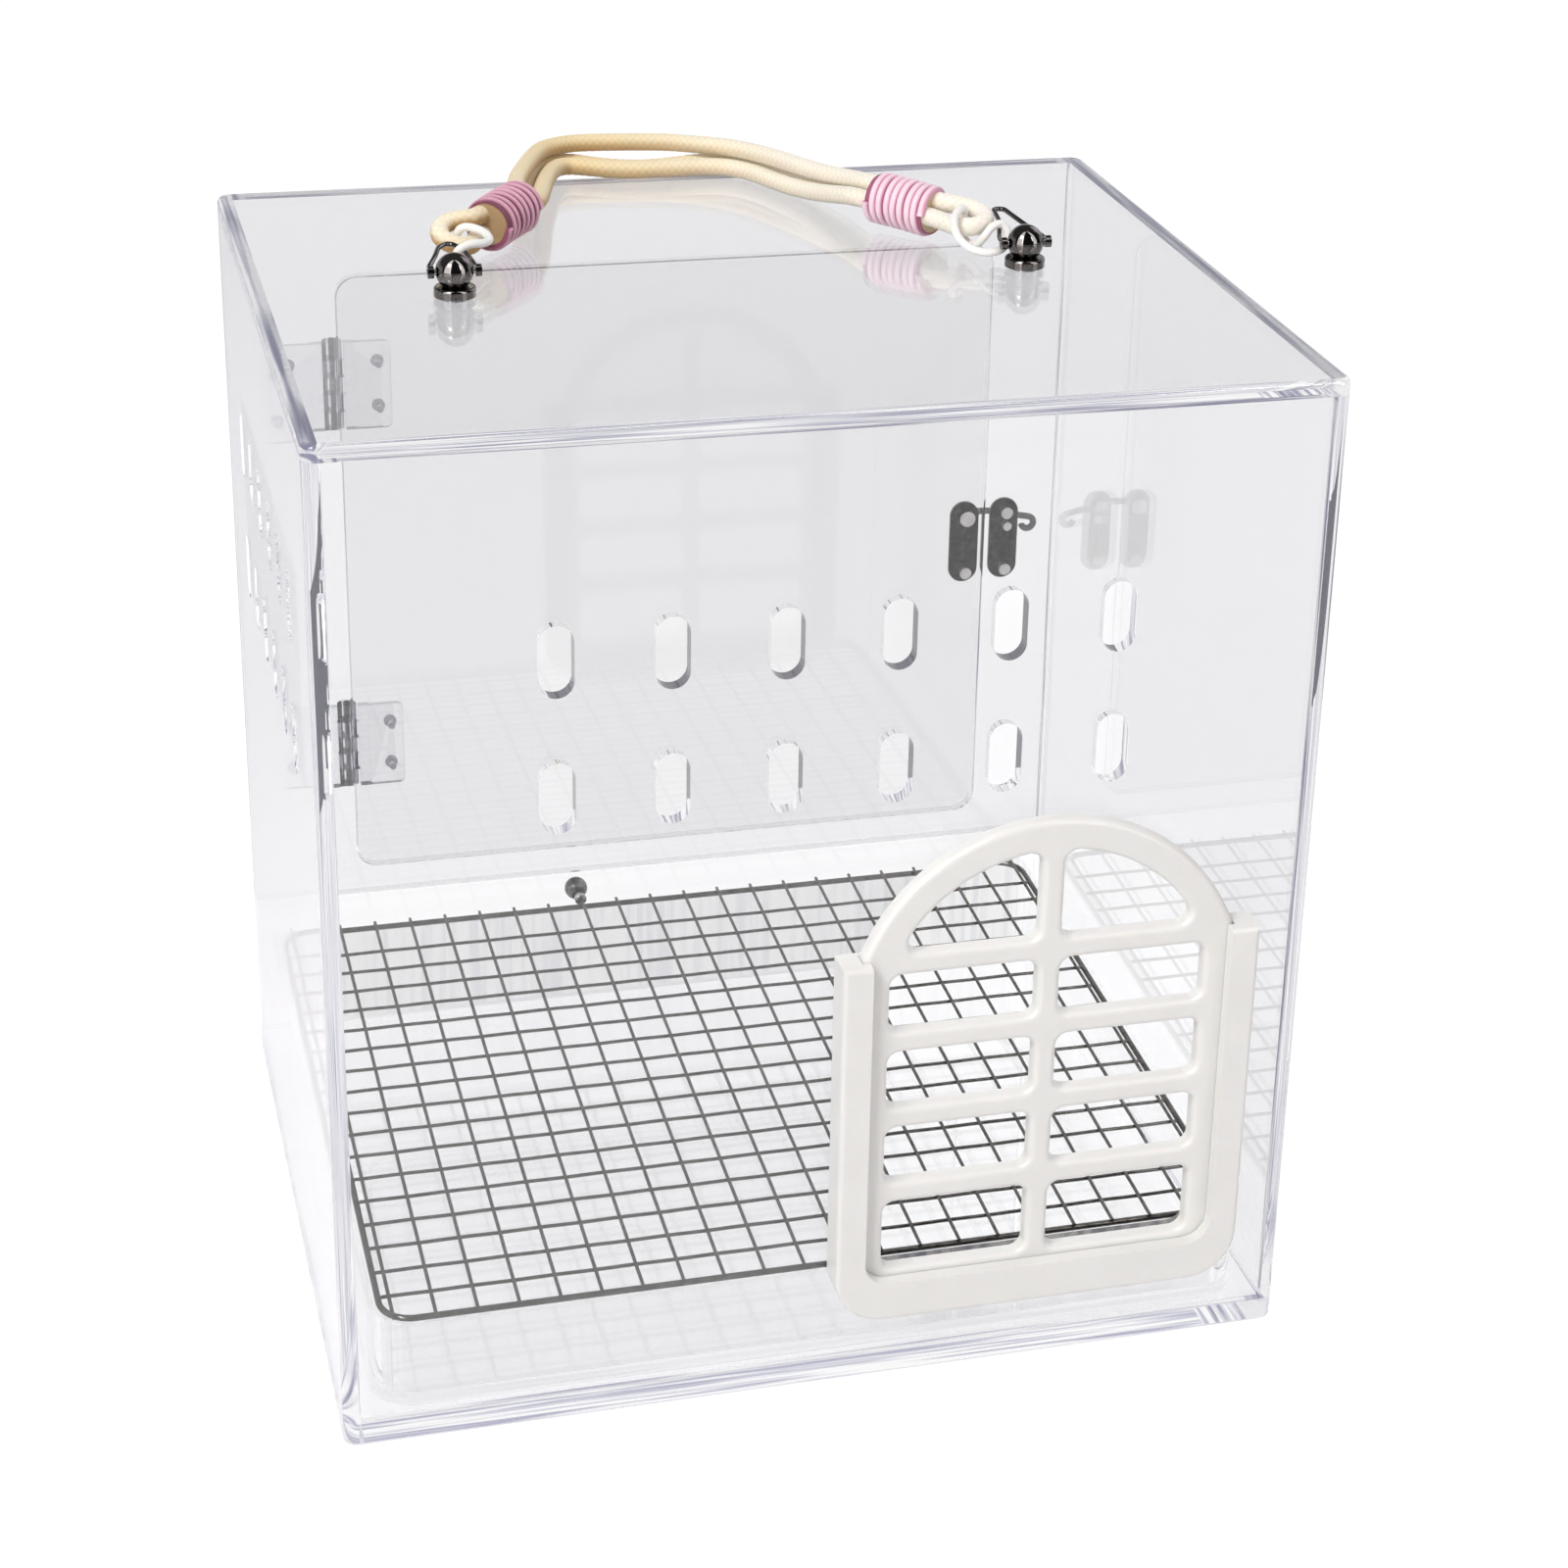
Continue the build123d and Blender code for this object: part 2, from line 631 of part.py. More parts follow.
def make_back_wall():
    bottom_z = FACE_TOP_Z + FACE_GAP
    wall = block((-SIDE_INNER_X, BACK_INNER_Y, bottom_z), (SIDE_INNER_X, BACK_Y, LID_BOTTOM_Z))
    wall -= xz_slab(door_sketch(DOOR_GAP), BACK_INNER_Y - 1, BACK_Y + 1)
    wall = drill_back(wall, hinge_screw_places(-1), HINGE_SCREW_R, BACK_Y - HINGE_SCREW_DEPTH, BACK_Y + 1)
    keeper_rivets = [(KEEPER_X, z) for z in KEEPER_RIVET_ZS]
    wall = drill_back(wall, keeper_rivets, RIVET_R, BACK_INNER_Y - 1, BACK_Y + 1)
    return drill_back(wall, [(KEEPER_POST_X, post_z())], KEEPER_POST_R, BACK_INNER_Y - 1, BACK_Y + 1)


def make_door():
    door = xz_slab(door_sketch(0), BACK_INNER_Y, BACK_Y)
    door = drill_back(door, hinge_screw_places(1), HINGE_SCREW_R, BACK_Y - HINGE_SCREW_DEPTH, BACK_Y + 1)
    door = drill_back(door, [(LATCH_X, LATCH_RIVET_Z)], RIVET_R, BACK_INNER_Y - 1, BACK_Y + 1)
    return drill_back(door, [(LATCH_X, HOOK_PIVOT_Z)], HOOK_PIVOT_R, BACK_INNER_Y - 1, BACK_Y + 1)


def make_hinge_leaf(side, middle_z):
    """One leaf: +1 is screwed to the door and has the even knuckles, -1 to the wall with the odd."""
    low_z = middle_z - HINGE_HEIGHT / 2
    high_z = middle_z + HINGE_HEIGHT / 2
    plate_reach = HINGE_KNUCKLE_R + HINGE_SWING_GAP
    near_x = HINGE_X + side * plate_reach
    far_x = HINGE_X + side * HINGE_REACH
    ridge_x = HINGE_X + side * HINGE_RIDGE_REACH
    plate = block((min(near_x, far_x), BACK_Y, low_z), (max(near_x, far_x), BACK_Y + HINGE_LEAF, high_z))
    far_edges = plate.edges().filter_by(Axis.Y).filter_by(lambda edge: abs(edge.center().X - far_x) < 0.01)
    leaf = fillet(far_edges, HINGE_LEAF_ROUND)
    top_y = BACK_Y + HINGE_LEAF + HINGE_RIDGE
    leaf += block((min(near_x, ridge_x), BACK_Y, low_z), (max(near_x, ridge_x), top_y, high_z))
    knuckle = HINGE_HEIGHT / HINGE_KNUCKLES
    for i in range(HINGE_KNUCKLES):
        if (i % 2 == 0) != (side < 0):
            continue
        start_z = low_z + i * knuckle + (HINGE_KNUCKLE_GAP / 2 if i > 0 else 0)
        end_z = low_z + (i + 1) * knuckle - (HINGE_KNUCKLE_GAP / 2 if i < HINGE_KNUCKLES - 1 else 0)
        web_y = BACK_Y + HINGE_WEB_LIFT
        web_low = (min(HINGE_X, near_x + side), web_y, start_z)
        web_high = (max(HINGE_X, near_x + side), web_y + HINGE_WEB, end_z)
        leaf += block(web_low, web_high)
        leaf += rod((HINGE_X, HINGE_Y, start_z), (HINGE_X, HINGE_Y, end_z), HINGE_KNUCKLE_R)
    bore = HINGE_PIN_R if side < 0 else HINGE_PIN_R + HINGE_PIN_GAP
    leaf -= rod((HINGE_X, HINGE_Y, low_z - 1), (HINGE_X, HINGE_Y, high_z + 1), bore)
    return drill_back(leaf, hinge_screw_places(side), HINGE_SCREW_R, BACK_Y - 1, top_y + 1)


def make_hinge_pin(middle_z):
    half = HINGE_HEIGHT / 2 + HINGE_PIN_OVERRUN
    pin = rod((HINGE_X, HINGE_Y, middle_z - half), (HINGE_X, HINGE_Y, middle_z + half), HINGE_PIN_R)
    return fillet(pin.edges().filter_by(GeomType.CIRCLE), HINGE_PIN_R / 3)


def make_hinge_screws(side):
    screws = []
    head_y = BACK_Y + HINGE_LEAF
    top_y = head_y + HINGE_SCREW_HEAD
    for x, z in hinge_screw_places(side):
        head = rod((x, head_y, z), (x, top_y, z), HINGE_SCREW_HEAD_R)
        head = fillet(head.edges().sort_by(Axis.Y)[-1], HINGE_SCREW_HEAD / 2)
        slot_y = top_y - SCREW_SLOT_DEPTH
        for across, up in ((SCREW_SLOT_LONG, SCREW_SLOT_WIDTH), (SCREW_SLOT_WIDTH, SCREW_SLOT_LONG)):
            low = (x - across / 2, slot_y, z - up / 2)
            head -= block(low, (x + across / 2, top_y + 1, z + up / 2))
        screws.append(head + rod((x, BACK_Y - HINGE_SCREW_DEPTH, z), (x, head_y, z), HINGE_SCREW_R))
    return Compound(children=screws)


# ---------------------------------------------------------------- latch
PLATE_TOP_Y = BACK_Y + LATCH_PLATE
HOOK_BACK_Y = PLATE_TOP_Y + HOOK_STANDOFF
HOOK_MIDDLE_Y = HOOK_BACK_Y + HOOK_WIRE_R
HOOK_FRONT_Y = HOOK_BACK_Y + 2 * HOOK_WIRE_R


def make_plate(x, z, holes):
    outline = Pos(x, z) * Rot(0, 0, 90) * SlotOverall(LATCH_PLATE_HEIGHT, LATCH_PLATE_WIDTH)
    plate = xz_slab(outline, BACK_Y, PLATE_TOP_Y)
    for hole_x, hole_z, radius in holes:
        plate -= rod((hole_x, BACK_Y - 1, hole_z), (hole_x, PLATE_TOP_Y + 1, hole_z), radius)
    return plate


def make_rivet(x, z):
    rivet = rod((x, BACK_INNER_Y - RIVET_HEAD, z), (x, PLATE_TOP_Y + RIVET_HEAD, z), RIVET_R)
    outer = rod((x, PLATE_TOP_Y, z), (x, PLATE_TOP_Y + RIVET_HEAD, z), RIVET_HEAD_R)
    inner = rod((x, BACK_INNER_Y - RIVET_HEAD, z), (x, BACK_INNER_Y, z), RIVET_HEAD_R)
    outer = fillet(outer.edges().sort_by(Axis.Y)[-1], RIVET_HEAD / 2)
    return rivet + outer + inner


def make_pivot():
    """Shouldered rivet that the hook turns on."""
    x = LATCH_X
    z = HOOK_PIVOT_Z
    head_y = HOOK_FRONT_Y + HOOK_SIDE_GAP
    pivot = rod((x, BACK_INNER_Y - RIVET_HEAD, z), (x, head_y, z), HOOK_PIVOT_R)
    pivot += rod((x, BACK_INNER_Y - RIVET_HEAD, z), (x, BACK_INNER_Y, z), HOOK_PIVOT_HEAD_R)
    pivot += rod((x, PLATE_TOP_Y, z), (x, HOOK_BACK_Y - HOOK_SIDE_GAP, z), HOOK_PIVOT_HEAD_R)
    head = rod((x, head_y, z), (x, head_y + HOOK_PIVOT_HEAD, z), HOOK_PIVOT_HEAD_R)
    return pivot + fillet(head.edges().sort_by(Axis.Y)[-1], HOOK_PIVOT_HEAD / 2)


def make_hook():
    """Wire hook: an eye on the pivot, a level run, a sloping bar over the post and a curl."""
    slope = hook_slope()
    start = Vector(LATCH_X + HOOK_PIVOT_R + HOOK_WIRE_R, HOOK_MIDDLE_Y, HOOK_PIVOT_Z)
    bend = Vector(LATCH_X + HOOK_BEND_REACH, HOOK_MIDDLE_Y, HOOK_PIVOT_Z)
    centre = Vector(LATCH_X + HOOK_CURL_REACH, HOOK_MIDDLE_Y, HOOK_PIVOT_Z - HOOK_CURL_DROP)

    def on_curl(angle):
        away = Vector(-sin(slope - angle), 0, cos(slope - angle))
        return centre + away * HOOK_CURL_R

    turn = radians(HOOK_CURL_ANGLE)
    bar = FilletPolyline(start, bend, on_curl(0), radius=[HOOK_WIRE_R * 6])
    curl = ThreePointArc(on_curl(0), on_curl(turn / 2), on_curl(turn))
    path = Wire(bar.edges() + curl.edges())
    section = Plane(origin=path @ 0, z_dir=path % 0) * Circle(HOOK_WIRE_R)
    hook = sweep(section, path=path)
    x = LATCH_X
    z = HOOK_PIVOT_Z
    eye = rod((x, HOOK_BACK_Y, z), (x, HOOK_FRONT_Y, z), HOOK_EYE_R)
    eye = fillet(eye.edges().filter_by(GeomType.CIRCLE), HOOK_WIRE_R / 2)
    hook = hook + eye
    return hook - rod((x, HOOK_BACK_Y - 1, z), (x, HOOK_FRONT_Y + 1, z), HOOK_PIVOT_R + HOOK_FIT)


def make_keeper_post():
    z = post_z()
    end = (KEEPER_POST_X, PLATE_TOP_Y + KEEPER_POST_LENGTH, z)
    post = rod((KEEPER_POST_X, BACK_INNER_Y, z), end, KEEPER_POST_R)
    return fillet(post.edges().sort_by(Axis.Y)[-1], KEEPER_POST_R / 2)


# ---------------------------------------------------------------- tray
TRAY_HALF = SIDE_INNER_X - TRAY_SIDE_GAP
TRAY_FRONT_Y = FRONT_INNER_Y + TRAY_FRONT_GAP
TRAY_BACK_Y = BACK_INNER_Y
TRAY_BOTTOM_Z = WALL_BASE_Z + TRAY_RUN_GAP
FACE_HALF = SIDE_INNER_X - FACE_GAP
# The rim climbs from the front to the back, and the grate lies on it.
RIM_SLOPE = atan2(TRAY_RIM_RISE, TRAY_BACK_Y - TRAY_FRONT_Y)
ALONG_RIM = (
    Pos(0, TRAY_FRONT_Y, TRAY_RIM_Z) * Rot(degrees(RIM_SLOPE), 0, 0) * Pos(0, -TRAY_FRONT_Y, -TRAY_RIM_Z)
)


def make_tray():
    high_z = TRAY_RIM_Z + TRAY_RIM_RISE + 1
    tray = block((-TRAY_HALF, TRAY_FRONT_Y, TRAY_BOTTOM_Z), (TRAY_HALF, TRAY_BACK_Y, high_z))
    front = tray.edges().filter_by(Axis.Z).filter_by(lambda edge: edge.center().Y < 0)
    tray = fillet(front, TRAY_CORNER)
    low = (-TRAY_HALF + TRAY_WALL, TRAY_FRONT_Y + TRAY_WALL, TRAY_BOTTOM_Z + TRAY_FLOOR)
    high = (TRAY_HALF - TRAY_WALL, TRAY_BACK_Y - TRAY_WALL, high_z + 1)
    inside = block(low, high)
    inside = fillet(inside.edges().filter_by(Axis.Z), TRAY_CORNER - TRAY_WALL)
    above_low = (-TRAY_HALF - 1, TRAY_FRONT_Y - 5, TRAY_RIM_Z)
    above = block(above_low, (TRAY_HALF + 1, TRAY_BACK_Y + 5, high_z + 5))
    return tray - inside - ALONG_RIM * above


def make_tray_face():
    low = (-FACE_HALF, BACK_INNER_Y, WALL_BASE_Z + TRAY_RUN_GAP)
    face = block(low, (FACE_HALF, BACK_Y, FACE_TOP_Z))
    return drill_back(face, [(KNOB_X, KNOB_Z)], KNOB_SCREW_R, BACK_INNER_Y - 1, BACK_Y + 1)


def make_knob():
    middle_y = BACK_Y + KNOB_STANDOFF
    knob = Pos(KNOB_X, middle_y, KNOB_Z) * Sphere(KNOB_R)
    knob += rod((KNOB_X, BACK_Y, KNOB_Z), (KNOB_X, middle_y, KNOB_Z), KNOB_NECK_R)
    screw_end = (KNOB_X, BACK_Y + KNOB_SCREW_REACH, KNOB_Z)
    return knob - rod((KNOB_X, BACK_Y - 1, KNOB_Z), screw_end, KNOB_SCREW_R)


def make_knob_screw():
    seat = (KNOB_X, BACK_INNER_Y, KNOB_Z)
    head = rod((KNOB_X, BACK_INNER_Y - KNOB_SCREW_HEAD, KNOB_Z), seat, KNOB_SCREW_HEAD_R)
    head = fillet(head.edges().sort_by(Axis.Y)[0], KNOB_SCREW_HEAD / 3)
    return head + rod(seat, (KNOB_X, BACK_Y + KNOB_SCREW_REACH, KNOB_Z), KNOB_SCREW_R)


# ---------------------------------------------------------------- grate
GRATE_HALF = TRAY_HALF - GRATE_INSET
GRATE_FRONT_Y = TRAY_FRONT_Y + GRATE_FRONT_INSET
GRATE_BACK_Y = TRAY_BACK_Y - GRATE_BACK_INSET
GRATE_FRAME_Z = TRAY_RIM_Z + GRATE_SEAT_GAP + GRATE_FRAME_R
LONG_WIRE_Z = GRATE_FRAME_Z + GRATE_FRAME_R + GRATE_WIRE_R
CROSS_WIRE_Z = LONG_WIRE_Z - 2 * GRATE_WIRE_R


def make_grate_frame():
    middle_y = (GRATE_FRONT_Y + GRATE_BACK_Y) / 2
    depth = GRATE_BACK_Y - GRATE_FRONT_Y
    straight_x = 2 * GRATE_HALF - 2 * GRATE_CORNER
    straight_y = depth - 2 * GRATE_CORNER
    frame = None
    for side in (-1, 1):
        x = side * GRATE_HALF
        y = middle_y + side * depth / 2
        bars = [
            rod((x, middle_y - straight_y / 2, GRATE_FRAME_Z),
                (x, middle_y + straight_y / 2, GRATE_FRAME_Z), GRATE_FRAME_R),
            rod((-straight_x / 2, y, GRATE_FRAME_Z), (straight_x / 2, y, GRATE_FRAME_Z), GRATE_FRAME_R),
        ]
        for bar in bars:
            frame = bar if frame is None else frame + bar
    for x_side in (-1, 1):
        for y_side in (-1, 1):
            centre = (x_side * straight_x / 2, middle_y + y_side * straight_y / 2, GRATE_FRAME_Z)
            start = {(1, 1): 0, (-1, 1): 90, (-1, -1): 180, (1, -1): 270}[(x_side, y_side)]
            bend = Pos(*centre) * Rot(0, 0, start) * corner_bend()
            frame += bend
    return ALONG_RIM * frame


def corner_bend():
    """A quarter turn of the frame wire about the corner's centre."""
    section = Plane(origin=(GRATE_CORNER, 0, 0), x_dir=(1, 0, 0), z_dir=(0, -1, 0)) * Circle(GRATE_FRAME_R)
    return revolve(section, axis=Axis.Z, revolution_arc=90)


def spread(low, high, pitch, clear):
    """As many places at the pitch as fit between two frame bars with some clear at each end."""
    count = int((high - low - 2 * clear) / pitch) + 1
    middle = (low + high) / 2
    return [middle + (i - (count - 1) / 2) * pitch for i in range(count)]


def make_long_wires():
    wires = []
    for x in spread(-GRATE_HALF, GRATE_HALF, GRATE_PITCH, GRATE_SIDE_CLEAR):
        start = (x, GRATE_FRONT_Y - GRATE_FRAME_R, LONG_WIRE_Z)
        end = (x, GRATE_BACK_Y + GRATE_FRAME_R, LONG_WIRE_Z)
        wires.append(ALONG_RIM * rod(start, end, GRATE_WIRE_R))
    return Compound(children=wires)


def make_cross_wires():
    wires = []
    reach = GRATE_HALF - GRATE_FRAME_R
    for y in spread(GRATE_FRONT_Y, GRATE_BACK_Y, GRATE_PITCH, GRATE_END_CLEAR):
        start = (-reach, y + GRATE_ROW_SHIFT, CROSS_WIRE_Z)
        end = (reach, y + GRATE_ROW_SHIFT, CROSS_WIRE_Z)
        wires.append(ALONG_RIM * rod(start, end, GRATE_WIRE_R))
    return Compound(children=wires)


# ---------------------------------------------------------------- studs and bails
AXIS_Z = LID_TOP_Z + STUD_BALL_HEIGHT


def stud_screw_space():
    """Screw that holds a stud from inside, with its head flush with the lid's underside."""
    on_base = (Align.CENTER, Align.CENTER, Align.MIN)
    shank = Cylinder(STUD_SCREW_R, LID_THICK + STUD_SCREW_REACH, align=on_base)
    head = Cone(STUD_SCREW_HEAD_R, STUD_SCREW_R, STUD_SCREW_HEAD, align=on_base)
    return shank + head


def make_stud(side):
    flange = Pos(0, 0, STUD_FLANGE / 2) * Cylinder(STUD_FLANGE_R, STUD_FLANGE)
    flange = fillet(flange.edges().sort_by(Axis.Z)[-1], STUD_FLANGE_ROUND)
    stud = flange + Pos(0, 0, STUD_BALL_HEIGHT) * Sphere(STUD_BALL_R)
    stud -= Pos(0, 0, -LID_THICK) * stud_screw_space()
    stud = Pos(side * STUD_X, 0, LID_TOP_Z) * stud
    reach = STUD_BALL_R + 1
    start = (side * STUD_X - reach, 0, AXIS_Z)
    end = (side * STUD_X + reach, 0, AXIS_Z)
    return stud - rod(start, end, BAIL_PIN_R + BAIL_PIN_GAP)


def make_stud_screws():
    screws = []
    for side in (-1, 1):
        socket = extrude(RegularPolygon(STUD_SOCKET_R, 6), amount=STUD_SOCKET_DEPTH)
        screws.append(Pos(side * STUD_X, 0, LID_BOTTOM_Z) * (stud_screw_space() - socket))
    return Compound(children=screws)


def make_bail_pin(side):
    reach = BAIL_EAR_X + BAIL_EAR / 2 + BAIL_PIN_OVERRUN
    start = (side * STUD_X - reach, 0, AXIS_Z)
    end = (side * STUD_X + reach, 0, AXIS_Z)
    return rod(start, end, BAIL_PIN_R)


def make_bail(side, route):
    bail, length, radii = wire_tube(route, BAIL_WIRE_R)
    report_tube("bail", bail, length, radii, BAIL_WIRE_R)
    bail = Pos(side * STUD_X, 0, AXIS_Z) * bail
    for ear_side in (-1, 1):
        middle_x = side * STUD_X + ear_side * BAIL_EAR_X
        start = (middle_x - BAIL_EAR / 2, 0, AXIS_Z)
        end = (middle_x + BAIL_EAR / 2, 0, AXIS_Z)
        bail += rod(start, end, BAIL_EAR_R)
    for ear_side in (-1, 1):
        middle_x = side * STUD_X + ear_side * BAIL_EAR_X
        start = (middle_x - BAIL_EAR / 2, 0, AXIS_Z)
        end = (middle_x + BAIL_EAR / 2, 0, AXIS_Z)
        bail -= rod(start, end, BAIL_PIN_R)
    return bail


# ---------------------------------------------------------------- rope handle
AT_PINS = Pos(0, 0, AXIS_Z - CORD_AXIS_Z)


def make_whipping(start, end):
    return AT_PINS * (rod(start, end, WHIP_OUTER_R) - rod(start, end, WHIP_INNER_R))


def make_rope():
    rope, length, radii = wire_tube(ROPE_ROUTE, ROPE_R)
    report_tube("rope", rope, length, radii, ROPE_R)
    return AT_PINS * rope


def make_link(name, route):
    link, length, radii = loop_tube(route, LINK_R)
    report_tube(name, link, length, radii, LINK_R)
    return AT_PINS * link


save("base_plate", make_base())
save("front_wall", make_front_wall())
save("left_wall", make_side_wall(-1, True))
save("right_wall", make_side_wall(1, False))
save("back_wall", make_back_wall())
save("top_panel", make_lid())
save("gate_channel", make_channel())
save("gate", make_gate())

save("door", make_door())
for hinge_name, hinge_z in (("lower", HINGE_LOW_Z), ("upper", HINGE_HIGH_Z)):
    save(hinge_name + "_hinge_wall_leaf", make_hinge_leaf(-1, hinge_z))
    save(hinge_name + "_hinge_door_leaf", make_hinge_leaf(1, hinge_z))
    save(hinge_name + "_hinge_pin", make_hinge_pin(hinge_z))
save("hinge_wall_screws", make_hinge_screws(-1))
save("hinge_door_screws", make_hinge_screws(1))

latch_holes = [(LATCH_X, LATCH_RIVET_Z, RIVET_R), (LATCH_X, HOOK_PIVOT_Z, HOOK_PIVOT_R)]
save("latch_plate", make_plate(LATCH_X, LATCH_Z, latch_holes))
keeper_holes = [(KEEPER_X, rivet_z, RIVET_R) for rivet_z in KEEPER_RIVET_ZS]
keeper_holes.append((KEEPER_POST_X, post_z(), KEEPER_POST_R))
save("keeper_plate", make_plate(KEEPER_X, KEEPER_Z, keeper_holes))
save("latch_rivet", make_rivet(LATCH_X, LATCH_RIVET_Z))
save("keeper_rivets", Compound(children=[make_rivet(KEEPER_X, rivet_z) for rivet_z in KEEPER_RIVET_ZS]))
save("latch_pivot", make_pivot())
save("latch_hook", make_hook())
save("keeper_post", make_keeper_post())

save("tray", make_tray())
save("tray_face", make_tray_face())
save("tray_knob", make_knob())
save("tray_knob_screw", make_knob_screw())

save("grate_frame", make_grate_frame())
save("grate_long_wires", make_long_wires())
save("grate_cross_wires", make_cross_wires())

save("left_stud", make_stud(-1))
save("right_stud", make_stud(1))
save("stud_screws", make_stud_screws())
save("left_bail_pin", make_bail_pin(-1))
save("right_bail_pin", make_bail_pin(1))
save("left_bail", make_bail(-1, LEFT_BAIL_ROUTE))
save("right_bail", make_bail(1, RIGHT_BAIL_ROUTE))

save("handle_rope", make_rope())
save("left_link", make_link("left link", LEFT_LINK_ROUTE))
save("right_link", make_link("right link", RIGHT_LINK_ROUTE))
save("left_whipping", make_whipping(LEFT_WHIP_START, LEFT_WHIP_END))
save("right_whipping", make_whipping(RIGHT_WHIP_START, RIGHT_WHIP_END))
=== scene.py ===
from math import cos, pi, radians, sin

import bmesh
import bpy
from mathutils import Matrix, Vector


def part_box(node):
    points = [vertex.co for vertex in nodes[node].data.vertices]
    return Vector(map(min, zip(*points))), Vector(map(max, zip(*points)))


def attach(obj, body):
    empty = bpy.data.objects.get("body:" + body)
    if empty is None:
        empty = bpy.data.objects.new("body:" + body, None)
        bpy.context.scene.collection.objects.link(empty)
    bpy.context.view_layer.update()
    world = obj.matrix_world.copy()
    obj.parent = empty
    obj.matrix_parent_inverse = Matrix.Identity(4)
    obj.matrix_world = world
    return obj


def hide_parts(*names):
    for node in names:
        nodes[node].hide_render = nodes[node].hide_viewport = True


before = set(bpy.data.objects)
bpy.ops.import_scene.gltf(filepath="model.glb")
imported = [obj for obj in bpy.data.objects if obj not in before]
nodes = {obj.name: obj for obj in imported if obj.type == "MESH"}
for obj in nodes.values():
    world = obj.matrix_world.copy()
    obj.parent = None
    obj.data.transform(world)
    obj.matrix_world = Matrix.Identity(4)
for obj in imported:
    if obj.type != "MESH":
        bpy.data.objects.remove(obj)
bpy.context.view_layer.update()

# ---------------------------------------------------------------- camera
# The carrier is looked at from the left of the gate and 0.3 m above the lid, 1.1 m from its middle.
LENS_MM = 76.264
SENSOR_MM = 36.0
SHIFT_X, SHIFT_Y = -0.07233, -0.0704
NEAR_CLIP, FAR_CLIP = 0.02, 60.0
EYE = Vector((-0.229537, -0.959662, 0.621876))
EYE_AZIMUTH, EYE_ELEVATION, EYE_ROLL = radians(-16.3847), radians(23.65), radians(1.8663)


def add_object(name, data):
    """An object in the scene that holds the data."""
    made = bpy.data.objects.new(name, data)
    bpy.context.scene.collection.objects.link(made)
    return made


camera_data = bpy.data.cameras.new("camera")
camera_data.lens = LENS_MM
camera_data.sensor_width = SENSOR_MM
camera_data.shift_x, camera_data.shift_y = SHIFT_X, SHIFT_Y
camera_data.clip_start, camera_data.clip_end = NEAR_CLIP, FAR_CLIP
camera = add_object("camera", camera_data)
bpy.context.scene.camera = camera
backward = Vector((
    sin(EYE_AZIMUTH) * cos(EYE_ELEVATION), -cos(EYE_AZIMUTH) * cos(EYE_ELEVATION), sin(EYE_ELEVATION)))
level_right = Vector((0, 0, 1)).cross(backward).normalized()
level_up = backward.cross(level_right)
right = cos(EYE_ROLL) * level_right + sin(EYE_ROLL) * level_up
up = -sin(EYE_ROLL) * level_right + cos(EYE_ROLL) * level_up
camera.matrix_world = Matrix.Translation(EYE) @ Matrix((right, up, backward)).transposed().to_4x4()

# ---------------------------------------------------------------- studio
# A pale floor and an evenly lit white room, with a soft lamp high on the left, two strip lamps that
# give the polished edges their glints, and a weak fill from behind on the right.
bpy.context.scene.view_settings.view_transform = "Standard"


def linear(hex_colour):
    """The linear colour of an sRGB hex value, with full opacity."""
    channels = [int(hex_colour[i:i + 2], 16) / 255 for i in (1, 3, 5)]
    return tuple(c / 12.92 if c <= 0.04045 else ((c + 0.055) / 1.055) ** 2.4 for c in channels) + (1.0,)


def add_node(material, kind, settings=None, **inputs):
    """A shader node with its settings and its sockets' values or links. A socket's name has _ for a space."""
    made = material.node_tree.nodes.new(kind)
    for name, value in (settings or {}).items():
        setattr(made, name, value)
    for name, value in inputs.items():
        socket = made.inputs[int(name[1:])] if name[1:].isdigit() else made.inputs[name.replace("_", " ")]
        if isinstance(value, bpy.types.NodeSocket):
            material.node_tree.links.new(value, socket)
        else:
            socket.default_value = value
    return made


def calculate(material, operation, *values):
    """What a Math node makes of its values or links."""
    sockets = {f"i{position}": value for position, value in enumerate(values)}
    return add_node(material, "ShaderNodeMath", {"operation": operation}, **sockets).outputs[0]


def mix_shaders(material, share, first, second):
    """The first shader where the share is 0, the second where it is 1."""
    return add_node(material, "ShaderNodeMixShader", i0=share, i1=first, i2=second).outputs[0]


ROOM_LIGHT = 0.44
MIRRORED_HORIZON, MIRRORED_CEILING = 0.95, 0.16    # what polished faces mirror: white round about, dim above
DIMS_FROM, DIMS_TO = 0.16, 0.46                    # sines of the elevations between which it dims
DARK_FRONT, BOARD_LIGHT = 0.04, 4.5                # the dark side of the room and its two tall white boards
FRONT_FROM = 0.05                                  # how far towards the gate's side the dark side starts
SOFT_BOARDS = [(-0.95, 0.32), (0.80, 0.20)]        # azimuth and half width, in radians
room = bpy.data.worlds.new("white_room")
room.use_nodes = True
room.node_tree.nodes.clear()
bpy.context.scene.world = room
ray = add_node(room, "ShaderNodeLightPath").outputs
seen_or_through = calculate(room, "MAXIMUM", ray["Is Camera Ray"], ray["Is Transmission Ray"])
room_seen = add_node(room, "ShaderNodeBackground", Color=linear("#FFFFFF"), Strength=1.0).outputs[0]
room_lit = add_node(room, "ShaderNodeBackground", Color=linear("#FBFAFF"), Strength=ROOM_LIGHT).outputs[0]
way = add_node(room, "ShaderNodeTexCoord").outputs["Generated"]
way_x, way_y, height = add_node(room, "ShaderNodeSeparateXYZ", Vector=way).outputs
